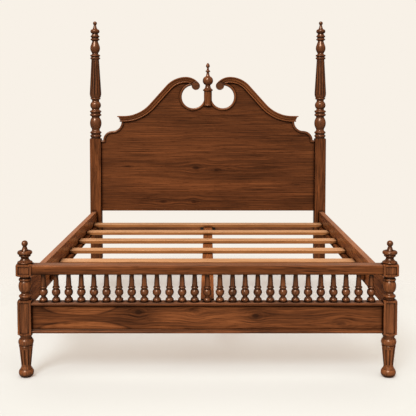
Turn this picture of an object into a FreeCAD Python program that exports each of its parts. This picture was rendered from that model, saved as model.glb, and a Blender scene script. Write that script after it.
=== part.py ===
import FreeCAD, Part
import math
import os

# Poster bed for a 1524 x 2032 mm mattress. Millimetres, +Z up, foot end towards -Y,
# origin on the floor under the middle of the bed.

# Layout
MATTRESS_W = 1524.0
MATTRESS_L = 2032.0
MATTRESS_GAP = 11.0
MATTRESS_END_GAP = 6.0
POST_OFFSET = 7.0

# Fits between wooden pieces and round hardware
FIT = 0.2
BORE_FIT = 0.15
TENON_END_GAP = 2.0

# Head post leg: square, on a bun foot
HEAD_BLOCK = 75.0
HEAD_LEG_TOP = 920.0
HEAD_FOOT_H = 72.0
HEAD_FOOT_R = 36.0
HEAD_FOOT_NECK_R = 27.0
FOOT_PAD_R = 21.0
POMMEL_H = 9.0
DOWEL_R = 9.0
DOWEL_L = 70.0

# Head post turning, from the leg upwards
BASE_GROOVE_R = 33.0
BASE_GROOVE_H = 10.0
RING_H = 15.0
RING_DEPTH = 5.5
RING_NECK_CUT = 1.2
RING_GAP = 8.5
LOW_RING_R = 39.0
LOW_NECK_R = 27.2
LOW_NECK_H = 21.0
BELLY_R = 39.6
URN_FOOT_R = 29.5
URN_H = 76.0
URN_TOP_R = 27.5
URN_BELLY = 0.5
URN_COLLAR_H = 10.5
MID_RING_GAP = 8.2
BALL_NECK_R = 26.5
BALL_NECK_H = 12.6
BALL_R = 36.8
BALL_H = 47.0
BALL_TOP_R = 26.5
COLLAR_NECK_R = 24.4
COLLAR_NECK_H = 16.1
COLLAR_R = 34.3
COLLAR_H = 13.5
SHAFT_H = 255.5
SHAFT_BASE_R = 33.5
SHAFT_BELLY_H = 30.0
SHAFT_TOP_R = 26.6
SHAFT_COLLAR_H = 9.4
REED_COUNT = 12
REED_GROOVE_R = 4.2
REED_GROOVE_TOP_R = 3.1
HIGH_RING_R = 34.2
HIGH_RING_H = 13.0
HIGH_RING_GAP = 5.0
VASE_NECK_R = 21.6
VASE_NECK_H = 13.0
VASE_R = 33.2
VASE_BELLY_H = 46.0
VASE_SHOULDER_R = 31.2
VASE_TOP_R = 20.2
VASE_TAPER_H = 31.0
CAP_COVE_H = 8.6
CAP_RING_R = 31.0
CAP_RING_H = 12.0
CAP_RING_GAP = 9.0
CAP_NECK_H = 8.0

# Post finials
FINIAL_NECK_R = 22.4
FINIAL_DISC_R = 31.4
FINIAL_SHOULDER_R = 16.8
FINIAL_SEAT_H = 6.5
FINIAL_DISC_H = 29.0
FINIAL_SPIRE_H = 29.5
FINIAL_SPIRE_R = 8.3
FINIAL_BALL_R = 13.6
FOOT_FINIAL_DISC_H = 15.0
FOOT_FINIAL_SPIRE_H = 21.5
FOOT_FINIAL_BASE_R = 32.0
FOOT_FINIAL_BASE_H = 9.0
FOOT_FINIAL_NECK_R = 16.2
FOOT_FINIAL_COVE_H = 14.0
FOOT_FINIAL_FLARE_H = 6.5
FOOT_FINIAL_BEAD_R = 25.0
FOOT_FINIAL_BEAD_H = 8.0
FINIAL_PIN_R = 8.0
FINIAL_PIN_L = 28.0

# Foot post: reeded leg, lower block, ball turning, upper block
LOWER_BLOCK = 58.0
LOWER_BLOCK_H = 151.0
UPPER_BLOCK = 66.0
UPPER_BLOCK_H = 53.5
BUN_R = 32.0
BUN_H = 34.0
BUN_TOP_R = 26.5
ANKLE_R = 20.4
ANKLE_H = 13.0
LEG_TAPER_H = 84.0
LEG_TAPER_TOP_R = 28.5
LEG_REEDS = 10
LEG_GROOVE_R = 3.0
LEG_REED_STOP = 8.0
KNEE_GROOVE_R = 27.6
KNEE_RING_R = 30.0
KNEE_RING_H = 8.0
KNEE_R = 32.5
KNEE_H = 31.0
KNEE_NECK_R = 24.0
KNEE_NECK_H = 15.0
BALL_MARGIN = 0.6
LINK_RING_MARGIN = 1.7
LINK_RING_H = 13.0
LINK_GROOVE_R = 23.0
LINK_GROOVE_H = 9.0
LINK_NECK_R = 17.8
LINK_NECK_H = 14.0
LINK_BALL_H = 45.0
SUNK_MARGIN = 9.0
SUNK_DEPTH = 3.6
SUNK_BEVEL = 1.8
SUNK_POINT = 3.5
POST_EASE = 2.0

# Headboard panel and its scrolled top
PANEL_T = 24.0
PANEL_SETBACK = 18.0
PANEL_BOTTOM = 416.0
TONGUE_L = 14.0
TONGUE_T = 14.0
TONGUE_INSET = 22.0
SHOULDER_DROP = 12.0
SHOULDER_LEDGE = 16.0
SHOULDER_R = 64.0
SWAN_FLAT = 12.0
SWAN_HOLLOW_SHARE = 0.5754
SWAN_CREST_X = 152.0
SWAN_RISE = 269.5
SWAN_CREST_SHARE = 0.4143
SWAN_CURL_R = 117.0
SWAN_CURL_END = 39.0
ROSETTE_R = 28.5
ROSETTE_T = 31.0
ROSETTE_RIM = 5.0
ROSETTE_SINK = 2.0
EYE_X = 102.5
EYE_DROP = 137.0
EYE_R = 79.0
CROWN_W = 40.0
CROWN_PROJECTION = 27.0
CROWN_FILLET = 6.0
CROWN_QUIRK = 4.5
CROWN_BEAD_W = 11.0
CROWN_BEAD_SEAT = 7.0
BEAD_W = 16.0
BEAD_H = 9.0

# Plinth and centre finial of the headboard
PLINTH_R = 27.5
PLINTH_LAP = 36.0
PLINTH_H = 112.0
PLINTH_FLARE_R = 32.5
PLINTH_FLARE_H = 22.0
PLINTH_CAP_R = 34.5
PLINTH_CAP_H = 10.0
CREST_FOOT_R = 29.0
CREST_NECK_R = 16.5
CREST_NECK_H = 29.0
CREST_BALL_R = 36.0
CREST_BALL_H = 60.0
CREST_SPIRE_R = 15.0
CREST_SPIRE_H = 29.0
CREST_STEM_R = 9.0
CREST_RING_R = 16.2
CREST_RING_H = 11.0
CREST_TIP_H = 18.0
CREST_TIP_R = 6.2
CREST_KNOB_R = 13.5
CREST_KNOB_H = 34.0
CREST_POINT_R = 1.5

# Footboard
TOP_RAIL_H = 42.0
TOP_RAIL_D = 60.0
TOP_RAIL_DROP = 3.0
TOP_RAIL_EASE = 7.0
BOARD_T = 35.0
BOARD_FRONT = 15.0
BOARD_RISE = 9.5
CAP_DROP = 9.5
CAP_T = 14.0
CAP_FRONT = 27.5
CAP_BACK = 24.0
BASE_H = 16.0
BASE_PROJECTION = 10.0
BASE_STEP = 2.0
TENON_L = 22.0
TENON_T = 16.0
TENON_INSET = 8.0
SPINDLES = 27
SPINDLE_END_GAP = 45.0
SPINDLE_BUN_R = 18.0
SPINDLE_BUN_H = 19.5
SPINDLE_NECK_R = 10.0
SPINDLE_NECK_H = 6.5
SPINDLE_BALL_R = 18.6
SPINDLE_BALL_H = 29.5
SPINDLE_GROOVE_R = 11.5
SPINDLE_GROOVE_H = 2.5
SPINDLE_RING_R = 15.8
SPINDLE_RING_H = 8.5
SPINDLE_RING_DEPTH = 2.2
SPINDLE_STEM_R = 12.2
SPINDLE_TOP_R = 9.2
SPINDLE_TENON_R = 7.5
SPINDLE_TENON_L = 11.0

# Side rails, ledgers, slats
RAIL_T = 32.0
RAIL_H = 126.0
RAIL_ABOVE_BLOCK = 76.0
RAIL_EASE = 4.0
SLAT_DROP = 63.0
SLAT_W = 84.0
SLAT_T = 18.0
SLAT_COUNT = 6
SLAT_FIRST = 172.0
SLAT_PITCH = 298.0
LAST_SLAT_PITCH = 225.0
SLAT_END_GAP = 3.0
SLAT_EASE = 2.0
LEDGER_W = 26.0
LEDGER_H = 22.0
LEDGER_END_GAP = 40.0
LEDGER_LAP = 10.0
LEDGER_EASE = 1.5
LEDGER_SCREWS = 6
LEDGER_SCREW_END = 70.0

# Head cross rail, middle beam, hangers, leg
HEAD_RAIL_T = 28.0
HEAD_RAIL_H = 42.0
HEAD_RAIL_DROP = 16.0
BEAM_W = 58.0
BEAM_H = 54.0
BEAM_EASE = 2.0
BEAM_END_GAP = 6.0
HANGER_T = 2.0
HANGER_GAP = 0.4
HANGER_SEAT = 40.0
HANGER_SIDE_H = 25.0
HANGER_FLANGE = 19.0
LEG_SIDE = 44.0
LEG_PLATE_L = 120.0
LEG_PLATE_T = 3.0
LEG_STUD_R = 5.0
LEG_STUD_L = 32.0
LEVELLER_GAP = 30.0
LEVELLER_R = 5.0
LEVELLER_L = 44.0
LEVELLER_BORE = 82.0
LEVELLER_PAD_R = 20.0
LEVELLER_PAD_H = 8.0
INSERT_WALL = 3.0
INSERT_L = 16.0
INSERT_FLANGE_R = 13.0
INSERT_FLANGE_T = 1.5
RUN_FIT = 0.3

# Rail plates: hooks on the rail end, slots in the post
PLATE_W = 20.0
PLATE_H = 44.0
PLATE_T = 2.5
PLATE_RISE = 4.0
HOOK_T = 3.0
HOOK_H = 8.0
HOOK_DROP = 5.0
HOOK_LIP = 3.0
HOOK_OFFSETS = (-17.0, 3.0)
PLATE_SCREW_X = 6.0
PLATE_SCREW_Z = 16.5

# Countersunk screws
SCREW_HEAD_R = 3.6
SCREW_HEAD_H = 2.2
SCREW_SHANK_R = 1.7
SCREW_RECESS = 1.1
SCREW_RECESS_W = 0.9
PLATE_SCREW_L = 18.0
SLAT_SCREW_L = 45.0
LEDGER_SCREW_L = 45.0
HANGER_SCREW_L = 22.0
LEG_SCREW_L = 24.0

Vec = FreeCAD.Vector
UP = Vec(0, 0, 1)
ORIGIN = Vec(0, 0, 0)

# Places that follow from the sizes above
RAIL_IN = MATTRESS_W / 2 + MATTRESS_GAP
POST_SPACING = 2 * (RAIL_IN + POST_OFFSET)
POST_X = -POST_SPACING / 2
BED_LENGTH = MATTRESS_L + 2 * MATTRESS_END_GAP + (HEAD_BLOCK + UPPER_BLOCK) / 2
FOOT_Y = -(BED_LENGTH + HEAD_BLOCK / 2 - UPPER_BLOCK / 2) / 2
HEAD_Y = FOOT_Y + BED_LENGTH
LEG_H = BUN_H + ANKLE_H + LEG_TAPER_H + KNEE_RING_H + KNEE_H + KNEE_NECK_H
LOWER_BLOCK_TOP = LEG_H + LOWER_BLOCK_H
LINK_H = 2 * LINK_GROOVE_H + 2 * LINK_RING_H + LINK_NECK_H + LINK_BALL_H
UPPER_BLOCK_Z = LOWER_BLOCK_TOP + LINK_H
UPPER_BLOCK_TOP = UPPER_BLOCK_Z + UPPER_BLOCK_H
RAIL_TOP = LOWER_BLOCK_TOP + RAIL_ABOVE_BLOCK
RAIL_Z = RAIL_TOP - RAIL_H
RAIL_X = -(RAIL_IN + RAIL_T / 2)
RAIL_FOOT_Y = FOOT_Y + LOWER_BLOCK / 2
RAIL_HEAD_Y = HEAD_Y - HEAD_BLOCK / 2
SLAT_TOP = RAIL_TOP - SLAT_DROP
SLAT_Z = SLAT_TOP - SLAT_T
BEAM_Z = SLAT_Z - BEAM_H
HEAD_RAIL_TOP = SLAT_Z - HEAD_RAIL_DROP
CAP_TOP = LOWER_BLOCK_TOP - CAP_DROP
BOARD_TOP = CAP_TOP - CAP_T
BOARD_Z = LEG_H + BOARD_RISE
BOARD_Y = FOOT_Y - BOARD_FRONT
BOARD_BACK_Y = BOARD_Y + BOARD_T
TOP_RAIL_TOP = UPPER_BLOCK_TOP - TOP_RAIL_DROP
TOP_RAIL_Z = TOP_RAIL_TOP - TOP_RAIL_H
PANEL_Y = HEAD_Y - HEAD_BLOCK / 2 + PANEL_SETBACK
PANEL_BACK_Y = PANEL_Y + PANEL_T
PANEL_MID_Y = PANEL_Y + PANEL_T / 2
PANEL_X = -(POST_SPACING - HEAD_BLOCK) / 2
SHOULDER_Z = HEAD_LEG_TOP - SHOULDER_DROP
SWAN_END_X = PANEL_X + SHOULDER_LEDGE + 2 * SHOULDER_R
SWAN_END_Z = SHOULDER_Z + 2 * SHOULDER_R
SWAN_LOW_Z = SWAN_END_Z + CROWN_W
CREST_Z = SWAN_LOW_Z + SWAN_RISE
SWAN_RUN = -SWAN_CREST_X - SWAN_END_X - SWAN_FLAT
SWAN_HOLLOW_R = SWAN_HOLLOW_SHARE * SWAN_RUN
SWAN_CREST_R = SWAN_CREST_SHARE * SWAN_RUN
EYE_Z = CREST_Z - EYE_DROP
NECK_Z = EYE_Z - math.sqrt(EYE_R ** 2 - (EYE_X - PLINTH_R) ** 2)
PLINTH_Z = NECK_Z - PLINTH_LAP
PLINTH_TOP = PLINTH_Z + PLINTH_H
LEG_PLATE_Z = BEAM_Z - LEG_PLATE_T
SLAT_YS = [HEAD_Y - SLAT_FIRST - SLAT_PITCH * i for i in range(SLAT_COUNT - 1)]
SLAT_YS.append(SLAT_YS[-1] - LAST_SLAT_PITCH)
LEDGER_FOOT_Y = SLAT_YS[-1] - SLAT_W / 2 - LEDGER_LAP
LEDGER_HEAD_Y = RAIL_HEAD_Y - LEDGER_END_GAP

parts = {}


def brick(x0, x1, y0, y1, z0, z1):
    return Part.makeBox(x1 - x0, y1 - y0, z1 - z0, Vec(x0, y0, z0))


def bar(x0, x1, y0, y1, z0, z1, ease):
    """A brick with its longest edges rounded over."""
    solid = brick(x0, x1, y0, y1, z0, z1)
    longest = max(x1 - x0, y1 - y0, z1 - z0)
    return solid.makeFillet(ease, [e for e in solid.Edges if abs(e.Length - longest) < 1e-6])


def rod(radius, length, x, y, z):
    return Part.makeCylinder(radius, length, Vec(x, y, z), UP)


def mirrored(shape):
    return shape.mirror(ORIGIN, Vec(1, 0, 0))


def both_sides(name, left):
    parts[name + "_left"] = left
    parts[name + "_right"] = mirrored(left)


def group(solids):
    return Part.makeCompound(solids)


class Turning:
    """Half profile of a turned piece, drawn upwards member by member."""

    def __init__(self, radius, z=0.0):
        self.r = radius
        self.z = z
        self.foot_z = z
        self.edges = []
        if radius > 0:
            self.edges.append(self.line(0, z, radius, z))

    def line(self, r0, z0, r1, z1):
        return Part.LineSegment(Vec(r0, 0, z0), Vec(r1, 0, z1)).toShape()

    def step(self, radius):
        """Flat shoulder to another radius."""
        if abs(radius - self.r) > 1e-6:
            self.edges.append(self.line(self.r, self.z, radius, self.z))
        self.r = radius

    def taper(self, height, radius):
        self.edges.append(self.line(self.r, self.z, radius, self.z + height))
        self.r = radius
        self.z += height

    def curve(self, height, through, radius, share=0.5):
        """One arc to another radius, by way of a radius at a share of the height."""
        middle = Vec(through, 0, self.z + share * height)
        end = Vec(radius, 0, self.z + height)
        self.edges.append(Part.Arc(Vec(self.r, 0, self.z), middle, end).toShape())
        self.r = radius
        self.z += height

    def ball_end(self, radius):
        """Ball that closes the piece at the top."""
        centre = self.z + math.sqrt(radius ** 2 - self.r ** 2)
        self.curve(centre + radius - self.z, radius, 0.0, (centre - self.z) / (centre + radius - self.z))

    def ring(self, height, radius):
        """Half-round ring, cut in to the same depth below and above."""
        self.step(radius - RING_DEPTH)
        self.curve(height, radius, radius - RING_DEPTH)

    def ring_pair(self, height, radius, gap):
        self.ring(height, radius)
        self.step(self.r - RING_NECK_CUT)
        self.taper(gap, self.r)
        self.ring(height, radius)

    def solid(self, x=0.0, y=0.0):
        edges = list(self.edges)
        if self.r > 1e-6:
            edges.append(self.line(self.r, self.z, 0, self.z))
        edges.append(self.line(0, self.z, 0, self.foot_z))
        face = Part.Face(Part.Wire(Part.__sortEdges__(edges)))
        solid = face.revolve(ORIGIN, UP, 360)
        solid.translate(Vec(x, y, 0))
        return solid


def squared(side, z0, z1, x, y):
    """Square length of a post, its corners rounded where the turning begins."""
    half = side / 2
    outside = side
    profile = [
        Part.LineSegment(Vec(0, 0, z0), Vec(half, 0, z0)).toShape(),
        Part.Arc(Vec(half, 0, z0), Vec(half * 1.3, 0, z0 + POMMEL_H * 0.4),
                 Vec(half * 1.5, 0, z0 + POMMEL_H)).toShape(),
        Part.LineSegment(Vec(half * 1.5, 0, z0 + POMMEL_H), Vec(outside, 0, z0 + POMMEL_H)).toShape(),
        Part.LineSegment(Vec(outside, 0, z0 + POMMEL_H), Vec(outside, 0, z1 - POMMEL_H)).toShape(),
        Part.LineSegment(Vec(outside, 0, z1 - POMMEL_H), Vec(half * 1.5, 0, z1 - POMMEL_H)).toShape(),
        Part.Arc(Vec(half * 1.5, 0, z1 - POMMEL_H), Vec(half * 1.3, 0, z1 - POMMEL_H * 0.4),
                 Vec(half, 0, z1)).toShape(),
        Part.LineSegment(Vec(half, 0, z1), Vec(0, 0, z1)).toShape(),
        Part.LineSegment(Vec(0, 0, z1), Vec(0, 0, z0)).toShape(),
    ]
    rounding = Part.Face(Part.Wire(profile)).revolve(ORIGIN, UP, 360)
    block = brick(-half, half, -half, half, z0, z1)
    arrises = [edge for edge in block.Edges if edge.BoundBox.ZLength > POST_EASE]
    solid = block.makeFillet(POST_EASE, arrises).common(rounding)
    solid.translate(Vec(x, y, 0))
    return solid


def around(radius, angle, z):
    return Vec(radius * math.cos(angle), radius * math.sin(angle), z)


def reeded_outline(count, z, radius, groove):
    """Round outline with half-round grooves between its reeds."""
    edges = []
    pitch = 2 * math.pi / count
    lip = 2 * math.asin(groove / (2 * radius))
    for i in range(count):
        middle = i * pitch - math.pi / 2
        start = around(radius, middle - lip, z)
        crest = around(radius, middle + lip, z)
        end = around(radius, middle + pitch - lip, z)
        edges.append(Part.Arc(start, around(radius - groove, middle, z), crest).toShape())
        edges.append(Part.Arc(crest, around(radius, middle + pitch / 2, z), end).toShape())
    return Part.Wire(edges)


def reeded_taper(count, low, high):
    """Reeded length of a shaft between two (height, radius, groove radius) ends."""
    return Part.makeLoft([reeded_outline(count, *low), reeded_outline(count, *high)], True, True)


def reed_ends(count, low, high):
    """Cutters that carry the grooves of a reeded taper on into a swelling, below it."""
    cutters = []
    for i in range(count):
        angle = 2 * math.pi * i / count - math.pi / 2
        ends = []
        for z, radius, groove in (low, high):
            ends.append(Part.Wire(Part.makeCircle(groove, around(radius, angle, z), UP)))
        cutters.append(Part.makeLoft(ends, True, True))
    return cutters


def sunk_panel(width, z0, z1, point, x, y):
    """Cutter for the bevelled sunk panel on the -Y face of a block, its lower edge drawn down to a point."""
    half = width / 2 - SUNK_MARGIN
    low = z0 + SUNK_MARGIN
    high = z1 - SUNK_MARGIN

    def outline(depth, inset):
        a = half - inset
        places = [(-a, low + inset), (a, low + inset), (a, high - inset), (-a, high - inset)]
        if point:
            places.insert(1, (0, low + inset - point))
        corners = [Vec(x + across, y + depth, z) for across, z in places]
        return Part.makePolygon(corners + corners[:1])

    return Part.makeLoft([outline(0, 0), outline(SUNK_DEPTH, SUNK_BEVEL)], True, True)


def screw(length, grow=0.0):
    """Countersunk screw along -Z, head flush with Z = 0; grown, it is the hole for one."""
    head = SCREW_HEAD_R + grow
    shank = SCREW_SHANK_R + grow
    body = Turning(0.0, -length)
    body.taper(shank, shank)
    body.taper(length - shank - SCREW_HEAD_H, shank)
    body.taper(SCREW_HEAD_H, head)
    solid = body.solid()
    if grow:
        return solid
    reach = SCREW_HEAD_R * 0.6
    slot = SCREW_RECESS_W / 2
    cross = brick(-reach, reach, -slot, slot, -SCREW_RECESS, SCREW_RECESS)
    return solid.cut([cross, brick(-slot, slot, -reach, reach, -SCREW_RECESS, SCREW_RECESS)])


def driven(places, length, grow=0.0):
    """Screws, or the holes for them, at (point, direction) places."""
    solids = []
    for point, direction in places:
        solid = screw(length, grow)
        solid.Placement = FreeCAD.Placement(point, FreeCAD.Rotation(Vec(0, 0, -1), direction))
        solids.append(solid)
    return solids


def tenon_bricks(x_face, y0, y1, z0, z1, length, thickness, inset):
    """Tenon on the -X end of a rail, and the mortise that takes it."""
    middle = (y0 + y1) / 2
    a = middle - thickness / 2
    b = middle + thickness / 2
    tenon = brick(x_face - length, x_face, a, b, z0 + inset, z1 - inset)
    mortise = brick(x_face - length - TENON_END_GAP, x_face + TENON_END_GAP,
                    a - FIT, b + FIT, z0 + inset - FIT, z1 - inset + FIT)
    return tenon, mortise


def with_tenons(rail, tenon):
    return rail.fuse([tenon, mirrored(tenon)]).removeSplitter()


def finial_on_spire(profile, disc_h, spire_h):
    """Swelled disc, concave spire and ball that end every post finial."""
    profile.curve(disc_h, FINIAL_DISC_R, FINIAL_SHOULDER_R, 0.45)
    profile.curve(spire_h, FINIAL_SPIRE_R + 2.6, FINIAL_SPIRE_R, 0.55)
    profile.ball_end(FINIAL_BALL_R)


def head_foot():
    """Bun foot under a head post leg."""
    foot = Turning(FOOT_PAD_R)
    foot.curve(HEAD_FOOT_H * 0.72, HEAD_FOOT_R, HEAD_FOOT_NECK_R, 0.45)
    foot.taper(HEAD_FOOT_H * 0.12, HEAD_FOOT_NECK_R)
    foot.taper(HEAD_FOOT_H * 0.16, HEAD_BLOCK / 2)
    return foot.solid(POST_X, HEAD_Y)


def head_turning():
    """Turned and reeded upper part of a head post."""
    low = Turning(BASE_GROOVE_R, HEAD_LEG_TOP)
    low.taper(BASE_GROOVE_H, BASE_GROOVE_R)
    low.ring_pair(RING_H, LOW_RING_R, RING_GAP)
    low.curve(LOW_NECK_H, LOW_NECK_R, URN_FOOT_R)
    low.curve(URN_H, BELLY_R, URN_TOP_R, URN_BELLY)
    low.curve(URN_COLLAR_H, URN_TOP_R + 0.6, BELLY_R - RING_DEPTH, 0.5)
    low.ring_pair(RING_H, BELLY_R, MID_RING_GAP)
    low.curve(BALL_NECK_H, BALL_NECK_R, BALL_TOP_R)
    low.curve(BALL_H, BALL_R, BALL_TOP_R)
    low.curve(COLLAR_NECK_H, COLLAR_NECK_R, COLLAR_NECK_R + 2)
    low.ring(COLLAR_H, COLLAR_R)
    belly = Turning(SHAFT_BASE_R, low.z)
    belly.curve(SHAFT_BELLY_H, (SHAFT_BASE_R + 2 * BELLY_R) / 3, BELLY_R, 0.4)
    shaft_top = low.z + SHAFT_H
    slope = (SHAFT_TOP_R - BELLY_R) / (shaft_top - belly.z)
    reeds_low = (belly.z, BELLY_R, REED_GROOVE_R)
    shaft = reeded_taper(REED_COUNT, reeds_low, (shaft_top, SHAFT_TOP_R, REED_GROOVE_TOP_R))
    reeds_end = (low.z - 1, BELLY_R + slope * (low.z - 1 - belly.z), REED_GROOVE_R)
    swell = belly.solid().cut(reed_ends(REED_COUNT, reeds_end, reeds_low))
    high = Turning(SHAFT_TOP_R, shaft_top)
    high.curve(SHAFT_COLLAR_H, SHAFT_TOP_R - 0.3, HIGH_RING_R - RING_DEPTH)
    high.ring_pair(HIGH_RING_H, HIGH_RING_R, HIGH_RING_GAP)
    high.curve(VASE_NECK_H, VASE_NECK_R, VASE_NECK_R + 1)
    high.curve(VASE_BELLY_H, VASE_R, VASE_SHOULDER_R, 0.62)
    high.taper(VASE_TAPER_H, VASE_TOP_R)
    high.curve(CAP_COVE_H, VASE_TOP_R + 0.4, CAP_RING_R - RING_DEPTH)
    high.ring_pair(CAP_RING_H, CAP_RING_R, CAP_RING_GAP)
    high.taper(CAP_NECK_H, FINIAL_NECK_R)
    post = low.solid().fuse([swell, shaft, high.solid()])
    post.translate(Vec(POST_X, HEAD_Y, 0))
    return post, high.z


def make_head_posts():
    leg = head_foot().fuse(squared(HEAD_BLOCK, HEAD_FOOT_H, HEAD_LEG_TOP, POST_X, HEAD_Y))
    leg = leg.removeSplitter()
    dowel_z = HEAD_LEG_TOP - DOWEL_L / 2
    socket = rod(DOWEL_R + BORE_FIT, DOWEL_L + TENON_END_GAP, POST_X, HEAD_Y, dowel_z - TENON_END_GAP / 2)
    groove = brick(PANEL_X - TONGUE_L - TENON_END_GAP, PANEL_X + TENON_END_GAP,
                   PANEL_MID_Y - TONGUE_T / 2 - FIT, PANEL_MID_Y + TONGUE_T / 2 + FIT,
                   PANEL_BOTTOM + TONGUE_INSET - FIT, SHOULDER_Z - TONGUE_INSET + FIT)
    leg = leg.cut([socket, groove, head_rail_tenon()[1]] + rail_sockets(RAIL_HEAD_Y, 1))
    both_sides("head_post", leg)
    turning, top = head_turning()
    pin_hole = rod(FINIAL_PIN_R + BORE_FIT, FINIAL_PIN_L + TENON_END_GAP, POST_X, HEAD_Y,
                   top - FINIAL_PIN_L - TENON_END_GAP)
    both_sides("head_post_turning", turning.cut([socket, pin_hole]))
    dowel = rod(DOWEL_R, DOWEL_L, POST_X, HEAD_Y, dowel_z)
    parts["post_dowels"] = group([dowel, mirrored(dowel)])
    finial = Turning(FINIAL_NECK_R, top)
    finial.curve(FINIAL_SEAT_H, FINIAL_NECK_R - 2.5, FINIAL_NECK_R - 0.5)
    finial_on_spire(finial, FINIAL_DISC_H, FINIAL_SPIRE_H)
    pin = rod(FINIAL_PIN_R, FINIAL_PIN_L, POST_X, HEAD_Y, top - FINIAL_PIN_L)
    both_sides("head_post_finial", finial.solid(POST_X, HEAD_Y).fuse(pin))


def make_foot_posts():
    ball_r = LOWER_BLOCK / 2 - BALL_MARGIN
    ring_r = LOWER_BLOCK / 2 - LINK_RING_MARGIN
    leg = Turning(FOOT_PAD_R)
    leg.curve(BUN_H, BUN_R, BUN_TOP_R, 0.5)
    leg.step(BUN_TOP_R - 1.5)
    leg.taper(ANKLE_H, ANKLE_R)
    reeds_z = leg.z
    leg.taper(LEG_TAPER_H, LEG_TAPER_TOP_R)
    leg.step(KNEE_GROOVE_R)
    leg.curve(KNEE_RING_H, KNEE_RING_R, KNEE_GROOVE_R)
    leg.curve(KNEE_H, KNEE_R, KNEE_NECK_R, 0.45)
    leg.taper(KNEE_NECK_H * 0.3, KNEE_NECK_R)
    leg.taper(KNEE_NECK_H * 0.7, LOWER_BLOCK / 2)
    slope = (LEG_TAPER_TOP_R - ANKLE_R) / LEG_TAPER_H
    reeds_low = (reeds_z + LEG_REED_STOP, ANKLE_R + slope * LEG_REED_STOP, LEG_GROOVE_R * 0.8)
    reeds_high = (reeds_z + LEG_TAPER_H - LEG_REED_STOP, LEG_TAPER_TOP_R - slope * LEG_REED_STOP,
                  LEG_GROOVE_R)
    grooves = reed_ends(LEG_REEDS, reeds_low, reeds_high)
    link = Turning(LINK_GROOVE_R, LOWER_BLOCK_TOP)
    link.taper(LINK_GROOVE_H, LINK_GROOVE_R)
    link.ring(LINK_RING_H, ring_r)
    link.curve(LINK_NECK_H, LINK_NECK_R, LINK_GROOVE_R)
    link.curve(LINK_BALL_H, ball_r, LINK_GROOVE_R)
    link.ring(LINK_RING_H, ring_r)
    link.taper(LINK_GROOVE_H, LINK_GROOVE_R)
    post = leg.solid().cut(grooves)
    post = post.fuse([squared(LOWER_BLOCK, LEG_H, LOWER_BLOCK_TOP, 0, 0), link.solid(),
                      squared(UPPER_BLOCK, UPPER_BLOCK_Z, UPPER_BLOCK_TOP, 0, 0)])
    post = post.removeSplitter()
    cuts = []
    for side, z0, z1, point in ((LOWER_BLOCK, LEG_H, LOWER_BLOCK_TOP, SUNK_POINT),
                                (UPPER_BLOCK, UPPER_BLOCK_Z, UPPER_BLOCK_TOP, 0)):
        front = sunk_panel(side, z0, z1, point, 0, -side / 2)
        outer = front.copy()
        outer.rotate(ORIGIN, UP, -90)
        cuts += [front, outer]
    cuts.append(rod(FINIAL_PIN_R + BORE_FIT, FINIAL_PIN_L + TENON_END_GAP, 0, 0,
                    UPPER_BLOCK_TOP - FINIAL_PIN_L - TENON_END_GAP))
    post = post.cut(cuts)
    post.translate(Vec(POST_X, FOOT_Y, 0))
    post = post.cut([top_rail_tenon()[1], board_tenon()[1]] + rail_sockets(RAIL_FOOT_Y, -1))
    both_sides("foot_post", post)
    neck = FOOT_FINIAL_NECK_R
    finial = Turning(FOOT_FINIAL_BASE_R - 2, UPPER_BLOCK_TOP)
    finial.curve(FOOT_FINIAL_BASE_H, FOOT_FINIAL_BASE_R, FOOT_FINIAL_BASE_R - 5, 0.4)
    finial.curve(FOOT_FINIAL_COVE_H, neck + 2.2, neck, 0.6)
    finial.curve(FOOT_FINIAL_FLARE_H, neck + 1.8, FOOT_FINIAL_BEAD_R - 3)
    finial.curve(FOOT_FINIAL_BEAD_H, FOOT_FINIAL_BEAD_R, FOOT_FINIAL_BEAD_R - 2.5)
    finial_on_spire(finial, FOOT_FINIAL_DISC_H, FOOT_FINIAL_SPIRE_H)
    pin = rod(FINIAL_PIN_R, FINIAL_PIN_L, POST_X, FOOT_Y, UPPER_BLOCK_TOP - FINIAL_PIN_L)
    both_sides("foot_post_finial", finial.solid(POST_X, FOOT_Y).fuse(pin))


def at_front(x, z, standoff=0.0):
    """Point on the front plane of the headboard panel, or proud of it."""
    return Vec(x, PANEL_Y - standoff, z)


def arc_about(centre, radius, start, end):
    """Arc on the panel front about a centre, angles in degrees from +X towards +Z."""
    def point(angle):
        a = math.radians(angle)
        return at_front(centre[0] + radius * math.cos(a), centre[1] + radius * math.sin(a))

    return Part.Arc(point(start), point((start + end) / 2), point(end)).toShape()


def straight(a, b):
    return Part.LineSegment(a, b).toShape()


def swan_neck():
    """Left swan-neck edge, low outer end to rosette: two arcs joined by a tangent, then the curl."""
    hollow = (SWAN_END_X + SWAN_FLAT, SWAN_LOW_Z + SWAN_HOLLOW_R)
    crest = (-SWAN_CREST_X, CREST_Z - SWAN_CREST_R)
    curl = (-SWAN_CREST_X, CREST_Z - SWAN_CURL_R)
    dx = crest[0] - hollow[0]
    dz = crest[1] - hollow[1]
    reach = (SWAN_HOLLOW_R + SWAN_CREST_R) / math.hypot(dx, dz)
    slope = math.degrees(math.asin(reach) - math.atan2(-dz, dx))
    low = arc_about(hollow, SWAN_HOLLOW_R, -90, slope - 90)
    high = arc_about(crest, SWAN_CREST_R, slope + 90, 90)
    end = arc_about(curl, SWAN_CURL_R, 90, SWAN_CURL_END)
    rise = straight(low.Vertexes[-1].Point, high.Vertexes[0].Point)
    flat = straight(at_front(SWAN_END_X, SWAN_LOW_Z), low.Vertexes[0].Point)
    return [flat, low, rise, high, end]


def rosette_centre():
    a = math.radians(SWAN_CURL_END)
    reach = SWAN_CURL_R - ROSETTE_R
    return (-SWAN_CREST_X + reach * math.cos(a), CREST_Z - SWAN_CURL_R + reach * math.sin(a))


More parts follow.
